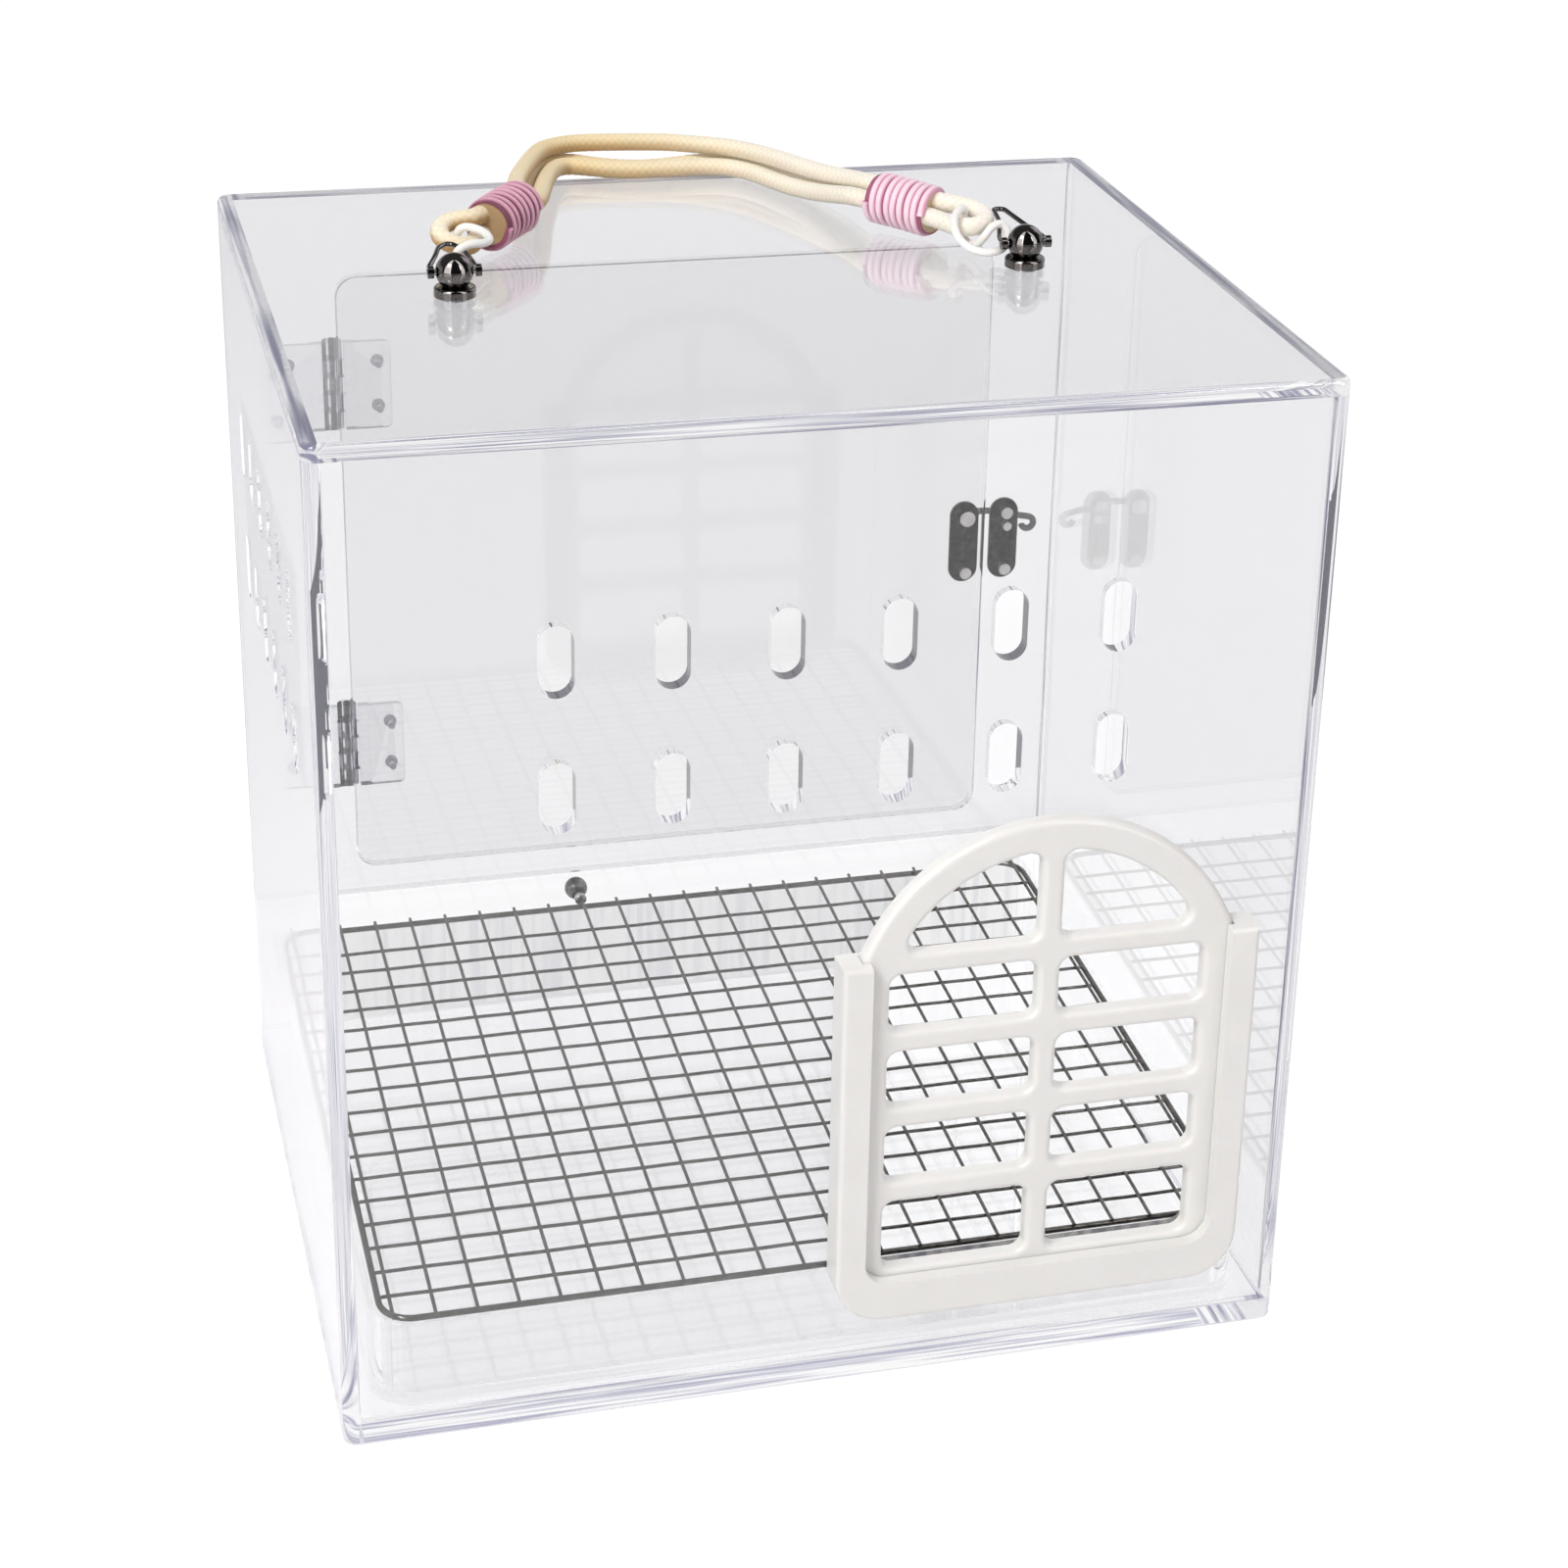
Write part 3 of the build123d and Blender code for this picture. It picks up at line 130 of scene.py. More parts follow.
mirrored_light = add_node(room, "ShaderNodeMapRange", {"interpolation_type": "SMOOTHSTEP"}, Value=height,
                          From_Min=DIMS_FROM, From_Max=DIMS_TO, To_Min=MIRRORED_HORIZON,
                          To_Max=MIRRORED_CEILING).outputs[0]
nearer = calculate(room, "MULTIPLY", way_y, -1.0)
azimuth = calculate(room, "ARCTAN2", way_x, nearer)
boards = 0.0
for middle, half_width in SOFT_BOARDS:
    board = calculate(room, "COMPARE", azimuth, middle, half_width)
    boards = calculate(room, "MAXIMUM", board, boards)
front_light = add_node(room, "ShaderNodeMapRange", Value=boards, To_Min=DARK_FRONT,
                       To_Max=BOARD_LIGHT).outputs[0]
in_front = calculate(room, "GREATER_THAN", nearer, FRONT_FROM)
mirrored_light = add_node(room, "ShaderNodeMix", Factor=in_front, i2=mirrored_light,
                          i3=front_light).outputs[0]
room_mirrored = add_node(room, "ShaderNodeBackground", Color=linear("#F6F6FA"),
                         Strength=mirrored_light).outputs[0]
room_unseen = mix_shaders(room, ray["Is Glossy Ray"], room_lit, room_mirrored)
room_mix = mix_shaders(room, seen_or_through, room_unseen, room_seen)
add_node(room, "ShaderNodeOutputWorld", Surface=room_mix)


def add_lamp(name, place, aim, width, height, watts, colour):
    """A soft rectangular lamp at a place, aimed at a point."""
    lamp_data = bpy.data.lights.new(name, "AREA")
    lamp_data.shape = "RECTANGLE"
    lamp_data.size, lamp_data.size_y = width, height
    lamp_data.energy = watts
    lamp_data.color = linear(colour)[:3]
    lamp = add_object(name, lamp_data)
    lamp.location = place
    lamp.rotation_euler = (Vector(aim) - Vector(place)).to_track_quat("-Z", "Y").to_euler()


add_lamp("key_lamp", (-1.5, -1.2, 2.2), (0, 0, 0.15), 0.8, 0.8, 40, "#FFFEFB")
add_lamp("glint_lamp", (1.0, -1.6, 1.5), (0, 0, 0.2), 0.15, 1.0, 6, "#FFFAF2")
add_lamp("left_strip_lamp", (-1.1, -1.5, 1.0), (0, 0, 0.3), 0.16, 1.8, 6, "#FFFFFF")
add_lamp("fill_lamp", (1.8, 1.2, 1.6), (0, 0, 0.15), 1.4, 1.4, 12, "#F4F2FF")

# The floor is white matt paper that keeps the carrier's soft shadow. It lies half a millimetre under
# the base, so that the two faces stay apart.
FLOOR_HALF, FLOOR_DROP = 12.0, 0.0005
PAPER_WHITE = 0.86                     # how much of what is seen is plain white, the rest keeps the shadow
PAPER_SEEN, PAPER_THROUGH = 1.1, 1.2   # its brightness, seen directly and through the panels
floor_mesh = bpy.data.meshes.new("floor")
floor_shape = bmesh.new()
bmesh.ops.create_grid(floor_shape, x_segments=1, y_segments=1, size=FLOOR_HALF)
bmesh.ops.translate(floor_shape, vec=(0, 0, -FLOOR_DROP), verts=floor_shape.verts)
floor_shape.to_mesh(floor_mesh)
floor_shape.free()
floor = add_object("floor", floor_mesh)


def new_material(name):
    """A material with an empty node tree."""
    material = bpy.data.materials.new(name)
    material.use_nodes = True
    material.node_tree.nodes.clear()
    return material


paper = new_material("white_paper")
ray = add_node(paper, "ShaderNodeLightPath").outputs
seen = calculate(paper, "MAXIMUM", ray["Is Camera Ray"], ray["Is Transmission Ray"])
white_share = calculate(paper, "MULTIPLY", seen, PAPER_WHITE)
matt = add_node(paper, "ShaderNodeBsdfDiffuse", Color=linear("#F4F3F4")).outputs[0]
paper_light = add_node(paper, "ShaderNodeMapRange", Value=ray["Is Transmission Ray"], To_Min=PAPER_SEEN,
                       To_Max=PAPER_THROUGH).outputs[0]
bright = add_node(paper, "ShaderNodeEmission", Color=linear("#FFFFFF"), Strength=paper_light).outputs[0]
add_node(paper, "ShaderNodeOutputMaterial", Surface=mix_shaders(paper, white_share, matt, bright))
floor.data.materials.append(paper)

# ---------------------------------------------------------------- box, door and tray
# Panels of clear cast acrylic, laser cut and solvent bonded with their edges polished. Faces are
# glassy and nearly colourless. The cool lavender tint along the edges, where light runs a long way inside a
# panel, is a painted glow.
ACRYLIC_IOR = 1.49
PIPED_REFLECTIONS, PIPED_BOUNCES = 3, 11   # rays turned this often see the painted edge glow
STREAK_FINE, STREAK_LONG = 420.0, 14.0     # streaks of the painted glow, per metre across and along an edge
STREAK_LOW, STREAK_HIGH = 0.36, 0.56       # noise levels at which a streak is darkest and brightest
SIDE_WALLS_FROM = 0.1405                   # the side walls' edges lie further out than this
UPRIGHT_MIDDLE, UPRIGHT_HALF = 0.1625, 0.151   # the height between base and lid, where edges stand upright
VENT_MIDDLE, VENT_HALF = 0.232, 0.0345     # the height that the two rows of vents take up
VENTS_ALONG_FRONT, VENTS_ALONG_SIDE = 0.09, 0.08   # how far the rows reach to either side of the middle
VENT_PAINTED_SHADE = "#74747C"                      # painted shade: the edge glow is smoky grey at the vents
PANEL_SHADE = "#F2F2F4"


def mix_colours(material, share, first, second):
    """The first colour where the share is 0, the second where it is 1."""
    return add_node(material, "ShaderNodeMix", {"data_type": "RGBA"}, Factor=share, i6=first,
                    i7=second).outputs[2]


def clear_acrylic(name, face_colour, shade_colour, low_painted_glow, high_painted_glow):
    """A glassy panel. Where light runs far inside it, it shows a painted streaky glow between the two glow
    colours, painted darker at the vents.
    """
    material = new_material(name)
    body = add_node(material, "ShaderNodeBsdfPrincipled", Base_Color=linear(face_colour), Roughness=0.0,
                    IOR=ACRYLIC_IOR, Transmission_Weight=1.0).outputs[0]
    ray = add_node(material, "ShaderNodeLightPath").outputs
    # Painted light: rays that have turned this often see an emission in place of the glass.
    piped = calculate(material, "GREATER_THAN", ray["Glossy Depth"], PIPED_REFLECTIONS - 0.5)
    spent = calculate(material, "GREATER_THAN", ray["Ray Depth"], PIPED_BOUNCES - 0.5)
    painted_glow_share = calculate(material, "MAXIMUM", piped, spent)
    place = add_node(material, "ShaderNodeTexCoord").outputs["Object"]
    x, y, z = add_node(material, "ShaderNodeSeparateXYZ", Vector=place).outputs
    streaks = []
    for stretch in ((STREAK_LONG, STREAK_FINE, STREAK_FINE), (STREAK_FINE, STREAK_LONG, STREAK_FINE),
                    (STREAK_FINE, STREAK_FINE, STREAK_LONG)):
        stretched = add_node(material, "ShaderNodeMapping", Vector=place, Scale=stretch).outputs[0]
        noise = add_node(material, "ShaderNodeTexNoise", Vector=stretched, Scale=1.0, Detail=2.0)
        streaks.append(noise.outputs[0])
    at_side = calculate(material, "GREATER_THAN", calculate(material, "ABSOLUTE", x), SIDE_WALLS_FROM)
    from_middle = calculate(material, "ABSOLUTE", calculate(material, "SUBTRACT", z, UPRIGHT_MIDDLE))
    upright = calculate(material, "LESS_THAN", from_middle, UPRIGHT_HALF)
    streak = add_node(material, "ShaderNodeMix", Factor=at_side, i2=streaks[0], i3=streaks[1]).outputs[0]
    streak = add_node(material, "ShaderNodeMix", Factor=upright, i2=streak, i3=streaks[2]).outputs[0]
    streak = add_node(material, "ShaderNodeMapRange", Value=streak, From_Min=STREAK_LOW,
                      From_Max=STREAK_HIGH).outputs[0]
    painted_glow_colour = mix_colours(material, streak, linear(low_painted_glow), linear(high_painted_glow))
    at_rows = calculate(material, "COMPARE", z, VENT_MIDDLE, VENT_HALF)
    along_front = calculate(material, "COMPARE", x, 0.0, VENTS_ALONG_FRONT)
    along_side = calculate(material, "COMPARE", y, 0.0, VENTS_ALONG_SIDE)
    along = calculate(material, "MAXIMUM", along_front, along_side)
    at_vents = calculate(material, "MULTIPLY", at_rows, along)
    painted_glow_colour = mix_colours(material, at_vents, painted_glow_colour, linear(VENT_PAINTED_SHADE))
    painted_glow = add_node(material, "ShaderNodeEmission", Color=painted_glow_colour, Strength=1.0).outputs[0]
    glass_or_painted_glow = mix_shaders(material, painted_glow_share, body, painted_glow)
    shade = add_node(material, "ShaderNodeBsdfTransparent", Color=linear(shade_colour)).outputs[0]
    surface = mix_shaders(material, ray["Is Shadow Ray"], glass_or_painted_glow, shade)
    add_node(material, "ShaderNodeOutputMaterial", Surface=surface)
    return material


def finish_node(node, material):
    """Gives a part of the frame its material."""
    nodes[node].data.materials.clear()
    nodes[node].data.materials.append(material)


acrylic = clear_acrylic("cast_acrylic_polished", "#F0F0F1", PANEL_SHADE, "#9696AE", "#FFFFFF")
for node in ("front_wall", "right_wall", "back_wall", "top_panel"):
    finish_node(node, acrylic)
finish_node("left_wall", clear_acrylic("cast_acrylic_left", "#FBFBFC", PANEL_SHADE, "#9696AE", "#FFFFFF"))
finish_node("base_plate", clear_acrylic("cast_acrylic_base", "#F5F5F6", PANEL_SHADE, "#B6B6CA", "#FFFFFF"))
finish_node("door", clear_acrylic("cast_acrylic_door", "#E5E5E6", PANEL_SHADE, "#70707A", "#C8C8CE"))

# The tray and its face strip are moulded clear styrene, paler than the cast panels, and the painted glow
# at their edges is nearly white.
moulded_clear = clear_acrylic("moulded_clear_styrene", "#FCFCFC", "#F8F8FA", "#F0F0F4", "#FFFFFF")
for node in ("tray", "tray_face"):
    finish_node(node, moulded_clear)

# The hinge leaves are thin clear polycarbonate. Their broad faces let the light straight through, and their
# cut edges are tinted greyer as painted shade, so that they read as fine grey outlines.
BROAD_FROM = 0.9                # a face that looks this squarely forwards or back is a broad one
leaf_clear = new_material("hinge_clear_polycarbonate")
leaf_normal = add_node(leaf_clear, "ShaderNodeTexCoord").outputs["Normal"]
facing = add_node(leaf_clear, "ShaderNodeSeparateXYZ", Vector=leaf_normal).outputs[1]
broad = calculate(leaf_clear, "GREATER_THAN", calculate(leaf_clear, "ABSOLUTE", facing), BROAD_FROM)
# Painted shade: the cut edges let less light through than the broad faces.
leaf_tint_and_edge_shade = mix_colours(leaf_clear, broad, linear("#E6E6EA"), linear("#FAFAFB"))
leaf_through = add_node(leaf_clear, "ShaderNodeBsdfTransparent", Color=leaf_tint_and_edge_shade).outputs[0]
leaf_sheen = add_node(leaf_clear, "ShaderNodeBsdfGlossy", Color=linear("#FFFFFF"), Roughness=0.05).outputs[0]
leaf_fresnel = add_node(leaf_clear, "ShaderNodeFresnel", IOR=1.58).outputs[0]
leaf_surface = mix_shaders(leaf_clear, leaf_fresnel, leaf_through, leaf_sheen)
add_node(leaf_clear, "ShaderNodeOutputMaterial", Surface=leaf_surface)
for node in ("lower_hinge_wall_leaf", "upper_hinge_wall_leaf", "lower_hinge_door_leaf",
             "upper_hinge_door_leaf"):
    finish_node(node, leaf_clear)

# ---------------------------------------------------------------- gate and channel
# The gate and the U-shaped channel it slides in are injection moulded in ivory ABS, with a soft satin
# skin and faint flow marks.
ivory = new_material("moulded_ivory_abs")
place = add_node(ivory, "ShaderNodeTexCoord").outputs["Object"]
flow = add_node(ivory, "ShaderNodeTexNoise", Vector=place, Scale=90.0, Detail=3.0, Roughness=0.5).outputs[0]
flow_colour = mix_colours(ivory, flow, linear("#E6E5E2"), linear("#DFDEDA"))
skin = add_node(ivory, "ShaderNodeTexNoise", Vector=place, Scale=1400.0, Detail=2.0).outputs[0]
skin_bump = add_node(ivory, "ShaderNodeBump", Strength=0.12, Distance=0.0002, Height=skin).outputs[0]
ivory_body = add_node(ivory, "ShaderNodeBsdfPrincipled", Base_Color=flow_colour, Roughness=0.34, IOR=1.53,
                      Normal=skin_bump, Subsurface_Weight=0.12, Subsurface_Scale=0.002).outputs[0]
add_node(ivory, "ShaderNodeOutputMaterial", Surface=ivory_body)
finish_node("gate", ivory)
finish_node("gate_channel", ivory)

# ---------------------------------------------------------------- metal fittings
# Hook, studs, knob, bails and hinge pins are turned or bent steel with a polished dark nickel plate,
# with slightly uneven sheen where hands have rubbed it.


def plated_metal(name, light_colour, dark_colour, low_rough, high_rough, scale):
    """Metal whose colour and roughness vary together in patches, as many to the metre as the scale says."""
    material = new_material(name)
    place = add_node(material, "ShaderNodeTexCoord").outputs["Object"]
    wear = add_node(material, "ShaderNodeTexNoise", Vector=place, Scale=scale, Detail=4.0).outputs[0]
    colour = mix_colours(material, wear, linear(dark_colour), linear(light_colour))
    rough = add_node(material, "ShaderNodeMapRange", Value=wear, To_Min=low_rough,
                     To_Max=high_rough).outputs[0]
    body = add_node(material, "ShaderNodeBsdfPrincipled", Base_Color=colour, Roughness=rough,
                    Metallic=1.0).outputs[0]
    add_node(material, "ShaderNodeOutputMaterial", Surface=body)
    return material


nickel = plated_metal("dark_nickel_plate", "#7A7673", "#464240", 0.04, 0.12, 160.0)
for node in ("latch_hook", "tray_knob", "left_stud", "right_stud", "left_bail", "right_bail",
             "lower_hinge_pin", "upper_hinge_pin"):
    finish_node(node, nickel)

# The latch's and keeper's pressed plates have lost their shine and are speckled where the plate has
# worn through. Their rivets, pivot and post are rubbed bright.
worn_nickel = plated_metal("worn_nickel_plate", "#B5AEA5", "#26221F", 0.25, 0.45, 620.0)
for node in ("latch_plate", "keeper_plate"):
    finish_node(node, worn_nickel)
bright_nickel = plated_metal("bright_nickel_plate", "#D8D6D4", "#A8A6A4", 0.08, 0.2, 160.0)
for node in ("latch_rivet", "keeper_rivets", "latch_pivot", "keeper_post"):
    finish_node(node, bright_nickel)

# The screws of knob and studs and the bails' pins are plain turned steel.
steel = plated_metal("turned_steel", "#B4B4B6", "#8E8E90", 0.18, 0.3, 220.0)
for node in ("tray_knob_screw", "stud_screws", "left_bail_pin", "right_bail_pin"):
    finish_node(node, steel)

# The hinges' screws are moulded in cloudy clear nylon, so they show only as pale grey dots.
nylon = new_material("clear_nylon_screws")
place = add_node(nylon, "ShaderNodeTexCoord").outputs["Object"]
cloud = add_node(nylon, "ShaderNodeTexNoise", Vector=place, Scale=500.0, Detail=2.0).outputs[0]
cloud_colour = mix_colours(nylon, cloud, linear("#F7F7F8"), linear("#DCDCDF"))
nylon_body = add_node(nylon, "ShaderNodeBsdfPrincipled", Base_Color=cloud_colour, Roughness=0.25, IOR=1.53,
                      Transmission_Weight=0.5).outputs[0]
add_node(nylon, "ShaderNodeOutputMaterial", Surface=nylon_body)
for node in ("hinge_wall_screws", "hinge_door_screws"):
    finish_node(node, nylon)

# ---------------------------------------------------------------- floor grate
# Two layers of thin stainless wire at half-inch pitch, a little wavy where they are welded at their
# crossings, in a frame of thicker wire. Drawn wire is smooth and grey with dark reflections.
WIRE_RADIUS = 0.0006
WIRE_PITCH = 0.0127
LONG_WIRES, CROSS_WIRES = 22, 17
WIRE_SWAY = 0.00012
GRATE_SLOPE = 0.03948           # the tray's rim climbs this much for each metre towards the back

wire = plated_metal("drawn_stainless_wire", "#8A8885", "#2E2C2A", 0.1, 0.3, 420.0)
finish_node("grate_frame", wire)
long_low, long_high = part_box("grate_long_wires")
cross_low, cross_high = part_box("grate_cross_wires")
long_places = [(i - (LONG_WIRES - 1) / 2) * WIRE_PITCH for i in range(LONG_WIRES)]
cross_middle = (cross_low.y + cross_high.y) / 2
cross_places = [cross_middle + (i - (CROSS_WIRES - 1) / 2) * WIRE_PITCH for i in range(CROSS_WIRES)]
cross_z = (cross_low.z + cross_high.z) / 2
upper_wires, lower_wires = 2 * WIRE_RADIUS, 0.0


def weave_wires(name, places, crossings, along, first, last, lift):
    """One layer of wires at the given places, each swaying a little in turn at its crossings."""
    data = bpy.data.curves.new(name, "CURVE")
    data.dimensions = "3D"
    for i, place in enumerate(places):
        stops = [(first, 0.0)]
        for k, crossing in enumerate(crossings):
            stops.append((crossing, (1 if (i + k + (along == "x")) % 2 else -1) * WIRE_SWAY))
        stops.append((last, 0.0))
        spline = data.splines.new("NURBS")
        spline.points.add(len(stops) - 1)
        for point, (reach, sway) in zip(spline.points, stops):
            x, y = (place, reach) if along == "y" else (reach, place)
            point.co = (x, y, cross_z + lift + sway + GRATE_SLOPE * (y - cross_middle), 1)
        spline.order_u = 3
        spline.use_endpoint_u = True
        spline.resolution_u = 3
    data.bevel_depth = WIRE_RADIUS
    data.bevel_resolution = 2
    data.use_fill_caps = True
    piece = add_object(name, data)
    data.materials.append(wire)
    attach(piece, "grate")
    return piece


long_piece = weave_wires("woven_long_wires", long_places, cross_places, "y", long_low.y, long_high.y,
                         upper_wires)
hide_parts("grate_long_wires")
cross_piece = weave_wires("woven_cross_wires", cross_places, long_places, "x", cross_low.x, cross_high.x,
                          lower_wires)
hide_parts("grate_cross_wires")

# ---------------------------------------------------------------- rope handle
# One braided cotton rope is folded back and forth into a three-strand grip. Both of its ends are
# hidden in the whippings. The braid's lumps are drawn 2.5 mm long, coarser than cotton's, so that they show.
ROPE_RADIUS = 0.0030
ROPE_STEPS, ROPE_ROUNDNESS = 32, 12
BRAID_LUMPS = 6
BRAID_PITCH = 0.0025
BRAID_DEPTH = 0.00012
MM = 0.001


def new_route(name, points, radius, closed=False, steps=12, roundness=4):
    """A smooth round cord through a route's points, given in millimetres."""
    data = bpy.data.curves.new(name, "CURVE")
    data.dimensions = "3D"
    spline = data.splines.new("NURBS")
    spline.points.add(len(points) - 1)
    for point, place in zip(spline.points, points):
        point.co = (place[0] * MM, place[1] * MM, place[2] * MM, 1)
    spline.use_cyclic_u = closed
    spline.order_u = 3
    spline.use_endpoint_u = not closed
    spline.resolution_u = steps
    data.bevel_depth = radius
    data.bevel_resolution = roundness
    data.use_fill_caps = not closed
    return add_object(name, data)


def as_mesh(route):
    """The curve's surface as a mesh of its own; the curve is removed."""
    bpy.context.view_layer.update()
    mesh = bpy.data.meshes.new_from_object(route.evaluated_get(bpy.context.evaluated_depsgraph_get()))
    name = route.name
    bpy.data.objects.remove(route)
    return add_object(name, mesh)


ROPE_ROUTE = [
    (-70.5, 37.8, 330.7),
    (-55.4, 58.5, 331.5),
    (-53.2, 64.0, 331.2),
    (-51.0, 72.0, 330.4),
    (-48.0, 86.0, 328.8),
    (-43.2, 105.5, 326.8),
    (-38.2, 121.5, 325.3),
    (-32.8, 127.9, 324.5),
    (-26.5, 125.2, 324.5),
    (-19.6, 121.4, 324.4),
    (-13.0, 119.2, 324.4),
    (-6.0, 118.9, 324.4),
    (0.5, 119.3, 324.4),
    (7.0, 119.5, 324.4),
    (14.0, 119.4, 324.4),
    (20.5, 117.6, 324.4),
    (26.0, 112.8, 324.4),
    (30.6, 103.6, 324.4),
    (34.8, 92.5, 324.5),
    (39.0, 82.0, 325.3),
    (42.6, 71.0, 327.0),
    (46.0, 59.5, 329.5),
    (47.9, 54.0, 330.6),
    (50.1, 49.4, 331.0),
    (68.4, 26.4, 329.8),
    (70.4, 22.0, 329.5),
    (73.4, 17.2, 329.4),
    (77.6, 14.9, 329.8),
    (81.5, 16.6, 330.6),
    (83.0, 20.8, 331.6),
    (81.0, 25.6, 332.6),
    (76.6, 28.2, 333.4),
    (72.3, 29.3, 333.8),
    (54.0, 52.3, 335.0),
    (51.8, 60.5, 333.9),
    (48.5, 68.8, 332.8),
    (44.2, 77.8, 332.0),
    (40.0, 87.5, 331.6),
    (35.8, 97.5, 331.3),
    (31.4, 107.0, 331.0),
    (26.5, 115.1, 330.7),
    (21.3, 121.5, 330.4),
    (15.3, 125.6, 330.2),
    (9.4, 129.4, 330.0),
    (3.3, 132.4, 330.0),
    (-9.8, 134.8, 330.0),
    (-23.3, 136.2, 330.0),
    (-30.5, 135.3, 330.1),
    (-37.2, 131.4, 330.3),
    (-41.8, 126.2, 330.6),
    (-46.9, 114.5, 331.0),
    (-52.3, 98.5, 331.7),
    (-56.2, 86.0, 332.4),
    (-58.9, 73.5, 333.4),
    (-59.3, 66.8, 334.1),
    (-59.9, 61.6, 334.6),
    (-77.3, 37.7, 333.7),
    (-82.0, 36.6, 334.0),
    (-87.3, 36.0, 333.2),
    (-90.2, 32.2, 331.6),
    (-89.0, 27.8, 329.8),
    (-84.6, 26.2, 328.3),
    (-80.2, 29.4, 327.4),
    (-77.2, 37.8, 327.4),
    (-59.9, 61.8, 328.3),
    (-57.9, 67.5, 328.0),
    (-55.8, 76.5, 327.2),
    (-53.4, 88.0, 326.2),
    (-50.4, 101.0, 325.4),
    (-46.9, 114.5, 324.8),
    (-43.2, 126.3, 324.4),
    (-38.6, 133.4, 324.2),
    (-30.3, 136.0, 323.6),
    (-21.5, 132.0, 322.8),
    (-12.5, 129.2, 322.3),
    (-3.0, 128.7, 322.2),
    (5.0, 129.2, 322.6),
    (11.8, 129.4, 323.2),
    (18.5, 127.2, 324.0),
    (25.5, 122.6, 324.4),
    (32.4, 114.6, 324.4),
    (37.0, 105.5, 324.4),
    (40.9, 96.5, 324.4),
    (44.2, 87.0, 324.7),
    (47.0, 78.5, 325.5),
    (50.0, 69.8, 326.4),
    (52.9, 60.8, 327.7),
    (54.7, 53.2, 328.8),
    (72.4, 31.0, 327.65),
]
rope_line = as_mesh(new_route("rope_line", ROPE_ROUTE, 0.0, steps=ROPE_STEPS))
rope_path = [v.co.copy() for v in rope_line.data.vertices]
bpy.data.objects.remove(rope_line)
rope = as_mesh(new_route("braided_rope", ROPE_ROUTE, ROPE_RADIUS, steps=ROPE_STEPS, roundness=ROPE_ROUNDNESS))
rings = len(rope_path)
sides = len(rope.data.vertices) // rings
rope_lengths = [0.0]
for before, after in zip(rope_path, rope_path[1:]):
    rope_lengths.append(rope_lengths[-1] + (after - before).length)
braid = rope.data.attributes.new("braid", "FLOAT", "POINT")
for ring in range(rings):
    wave = cos(2 * pi * rope_lengths[ring] / BRAID_PITCH)
    for side in range(sides):
        vertex = rope.data.vertices[ring * sides + side]
        lump = 0.5 + 0.5 * wave * cos(BRAID_LUMPS * 2 * pi * side / sides)
        out = (vertex.co - rope_path[ring]).normalized()
        vertex.co += out * (lump - 1) * BRAID_DEPTH
        braid.data[ring * sides + side].value = lump
for polygon in rope.data.polygons:
    polygon.use_smooth = True

# The cotton is painted yellower and darker on the left and on its underside, as painted warm shade, and is
# nearly white at the right end.
TONES_REACH = 0.1                                  # the tones run from this far left to this far right
ROPE_TONES = [(0.0, "#FBF6E4"), (0.16, "#F3E3BE"), (0.3, "#EED9A8"), (0.5, "#F3E6C6"), (0.68, "#F9F4E6"),
              (1.0, "#FCFAF3")]                    # share of that way, and tone; its tans are painted shade
UNDER_SHADE_FULL_TO, UNDER_SHADE_WEAK_FROM = -0.06, 0.05                  # underside shade: full left of the first, weak right of the second
UNDER_SHADE_TAN, UNDER_REACH, LEFT_SHADE_STRENGTH = "#B8935A", 0.9, 1.15
TAN_FROM, TAN_FULL = 0.8, -0.3                     # upward part of the normal where the painted shade starts and is full
rope_cotton = new_material("braided_cotton")
place = add_node(rope_cotton, "ShaderNodeTexCoord").outputs["Object"]
braid_lump = add_node(rope_cotton, "ShaderNodeAttribute", {"attribute_name": "braid"}).outputs["Fac"]
across = add_node(rope_cotton, "ShaderNodeSeparateXYZ", Vector=place).outputs[0]
tone_share = add_node(rope_cotton, "ShaderNodeMapRange", Value=across, From_Min=-TONES_REACH,
                      From_Max=TONES_REACH).outputs[0]
tone_ramp = add_node(rope_cotton, "ShaderNodeValToRGB", Fac=tone_share)
for share, hex_tone in ROPE_TONES[1:-1]:
    tone_ramp.color_ramp.elements.new(share).color = linear(hex_tone)
tone_ramp.color_ramp.elements[0].color = linear(ROPE_TONES[0][1])
tone_ramp.color_ramp.elements[-1].color = linear(ROPE_TONES[-1][1])
less_shade = add_node(rope_cotton, "ShaderNodeMapRange", Value=across, From_Min=UNDER_SHADE_FULL_TO,
                 From_Max=UNDER_SHADE_WEAK_FROM).outputs[0]
# Painted shade: the underside is mixed towards tan, more so on the left.
rope_normal = add_node(rope_cotton, "ShaderNodeTexCoord").outputs["Normal"]
upward = add_node(rope_cotton, "ShaderNodeSeparateXYZ", Vector=rope_normal).outputs[2]
under_shade = add_node(rope_cotton, "ShaderNodeMapRange", {"interpolation_type": "SMOOTHSTEP"}, Value=upward,
                 From_Min=TAN_FROM, From_Max=TAN_FULL, To_Max=UNDER_REACH).outputs[0]
shade_strength = calculate(rope_cotton, "SUBTRACT", LEFT_SHADE_STRENGTH, less_shade)
under_shade = add_node(rope_cotton, "ShaderNodeMath", {"operation": "MULTIPLY", "use_clamp": True}, i0=under_shade,
                 i1=shade_strength).outputs[0]
shaded_tone = mix_colours(rope_cotton, under_shade, tone_ramp.outputs[0], linear(UNDER_SHADE_TAN))
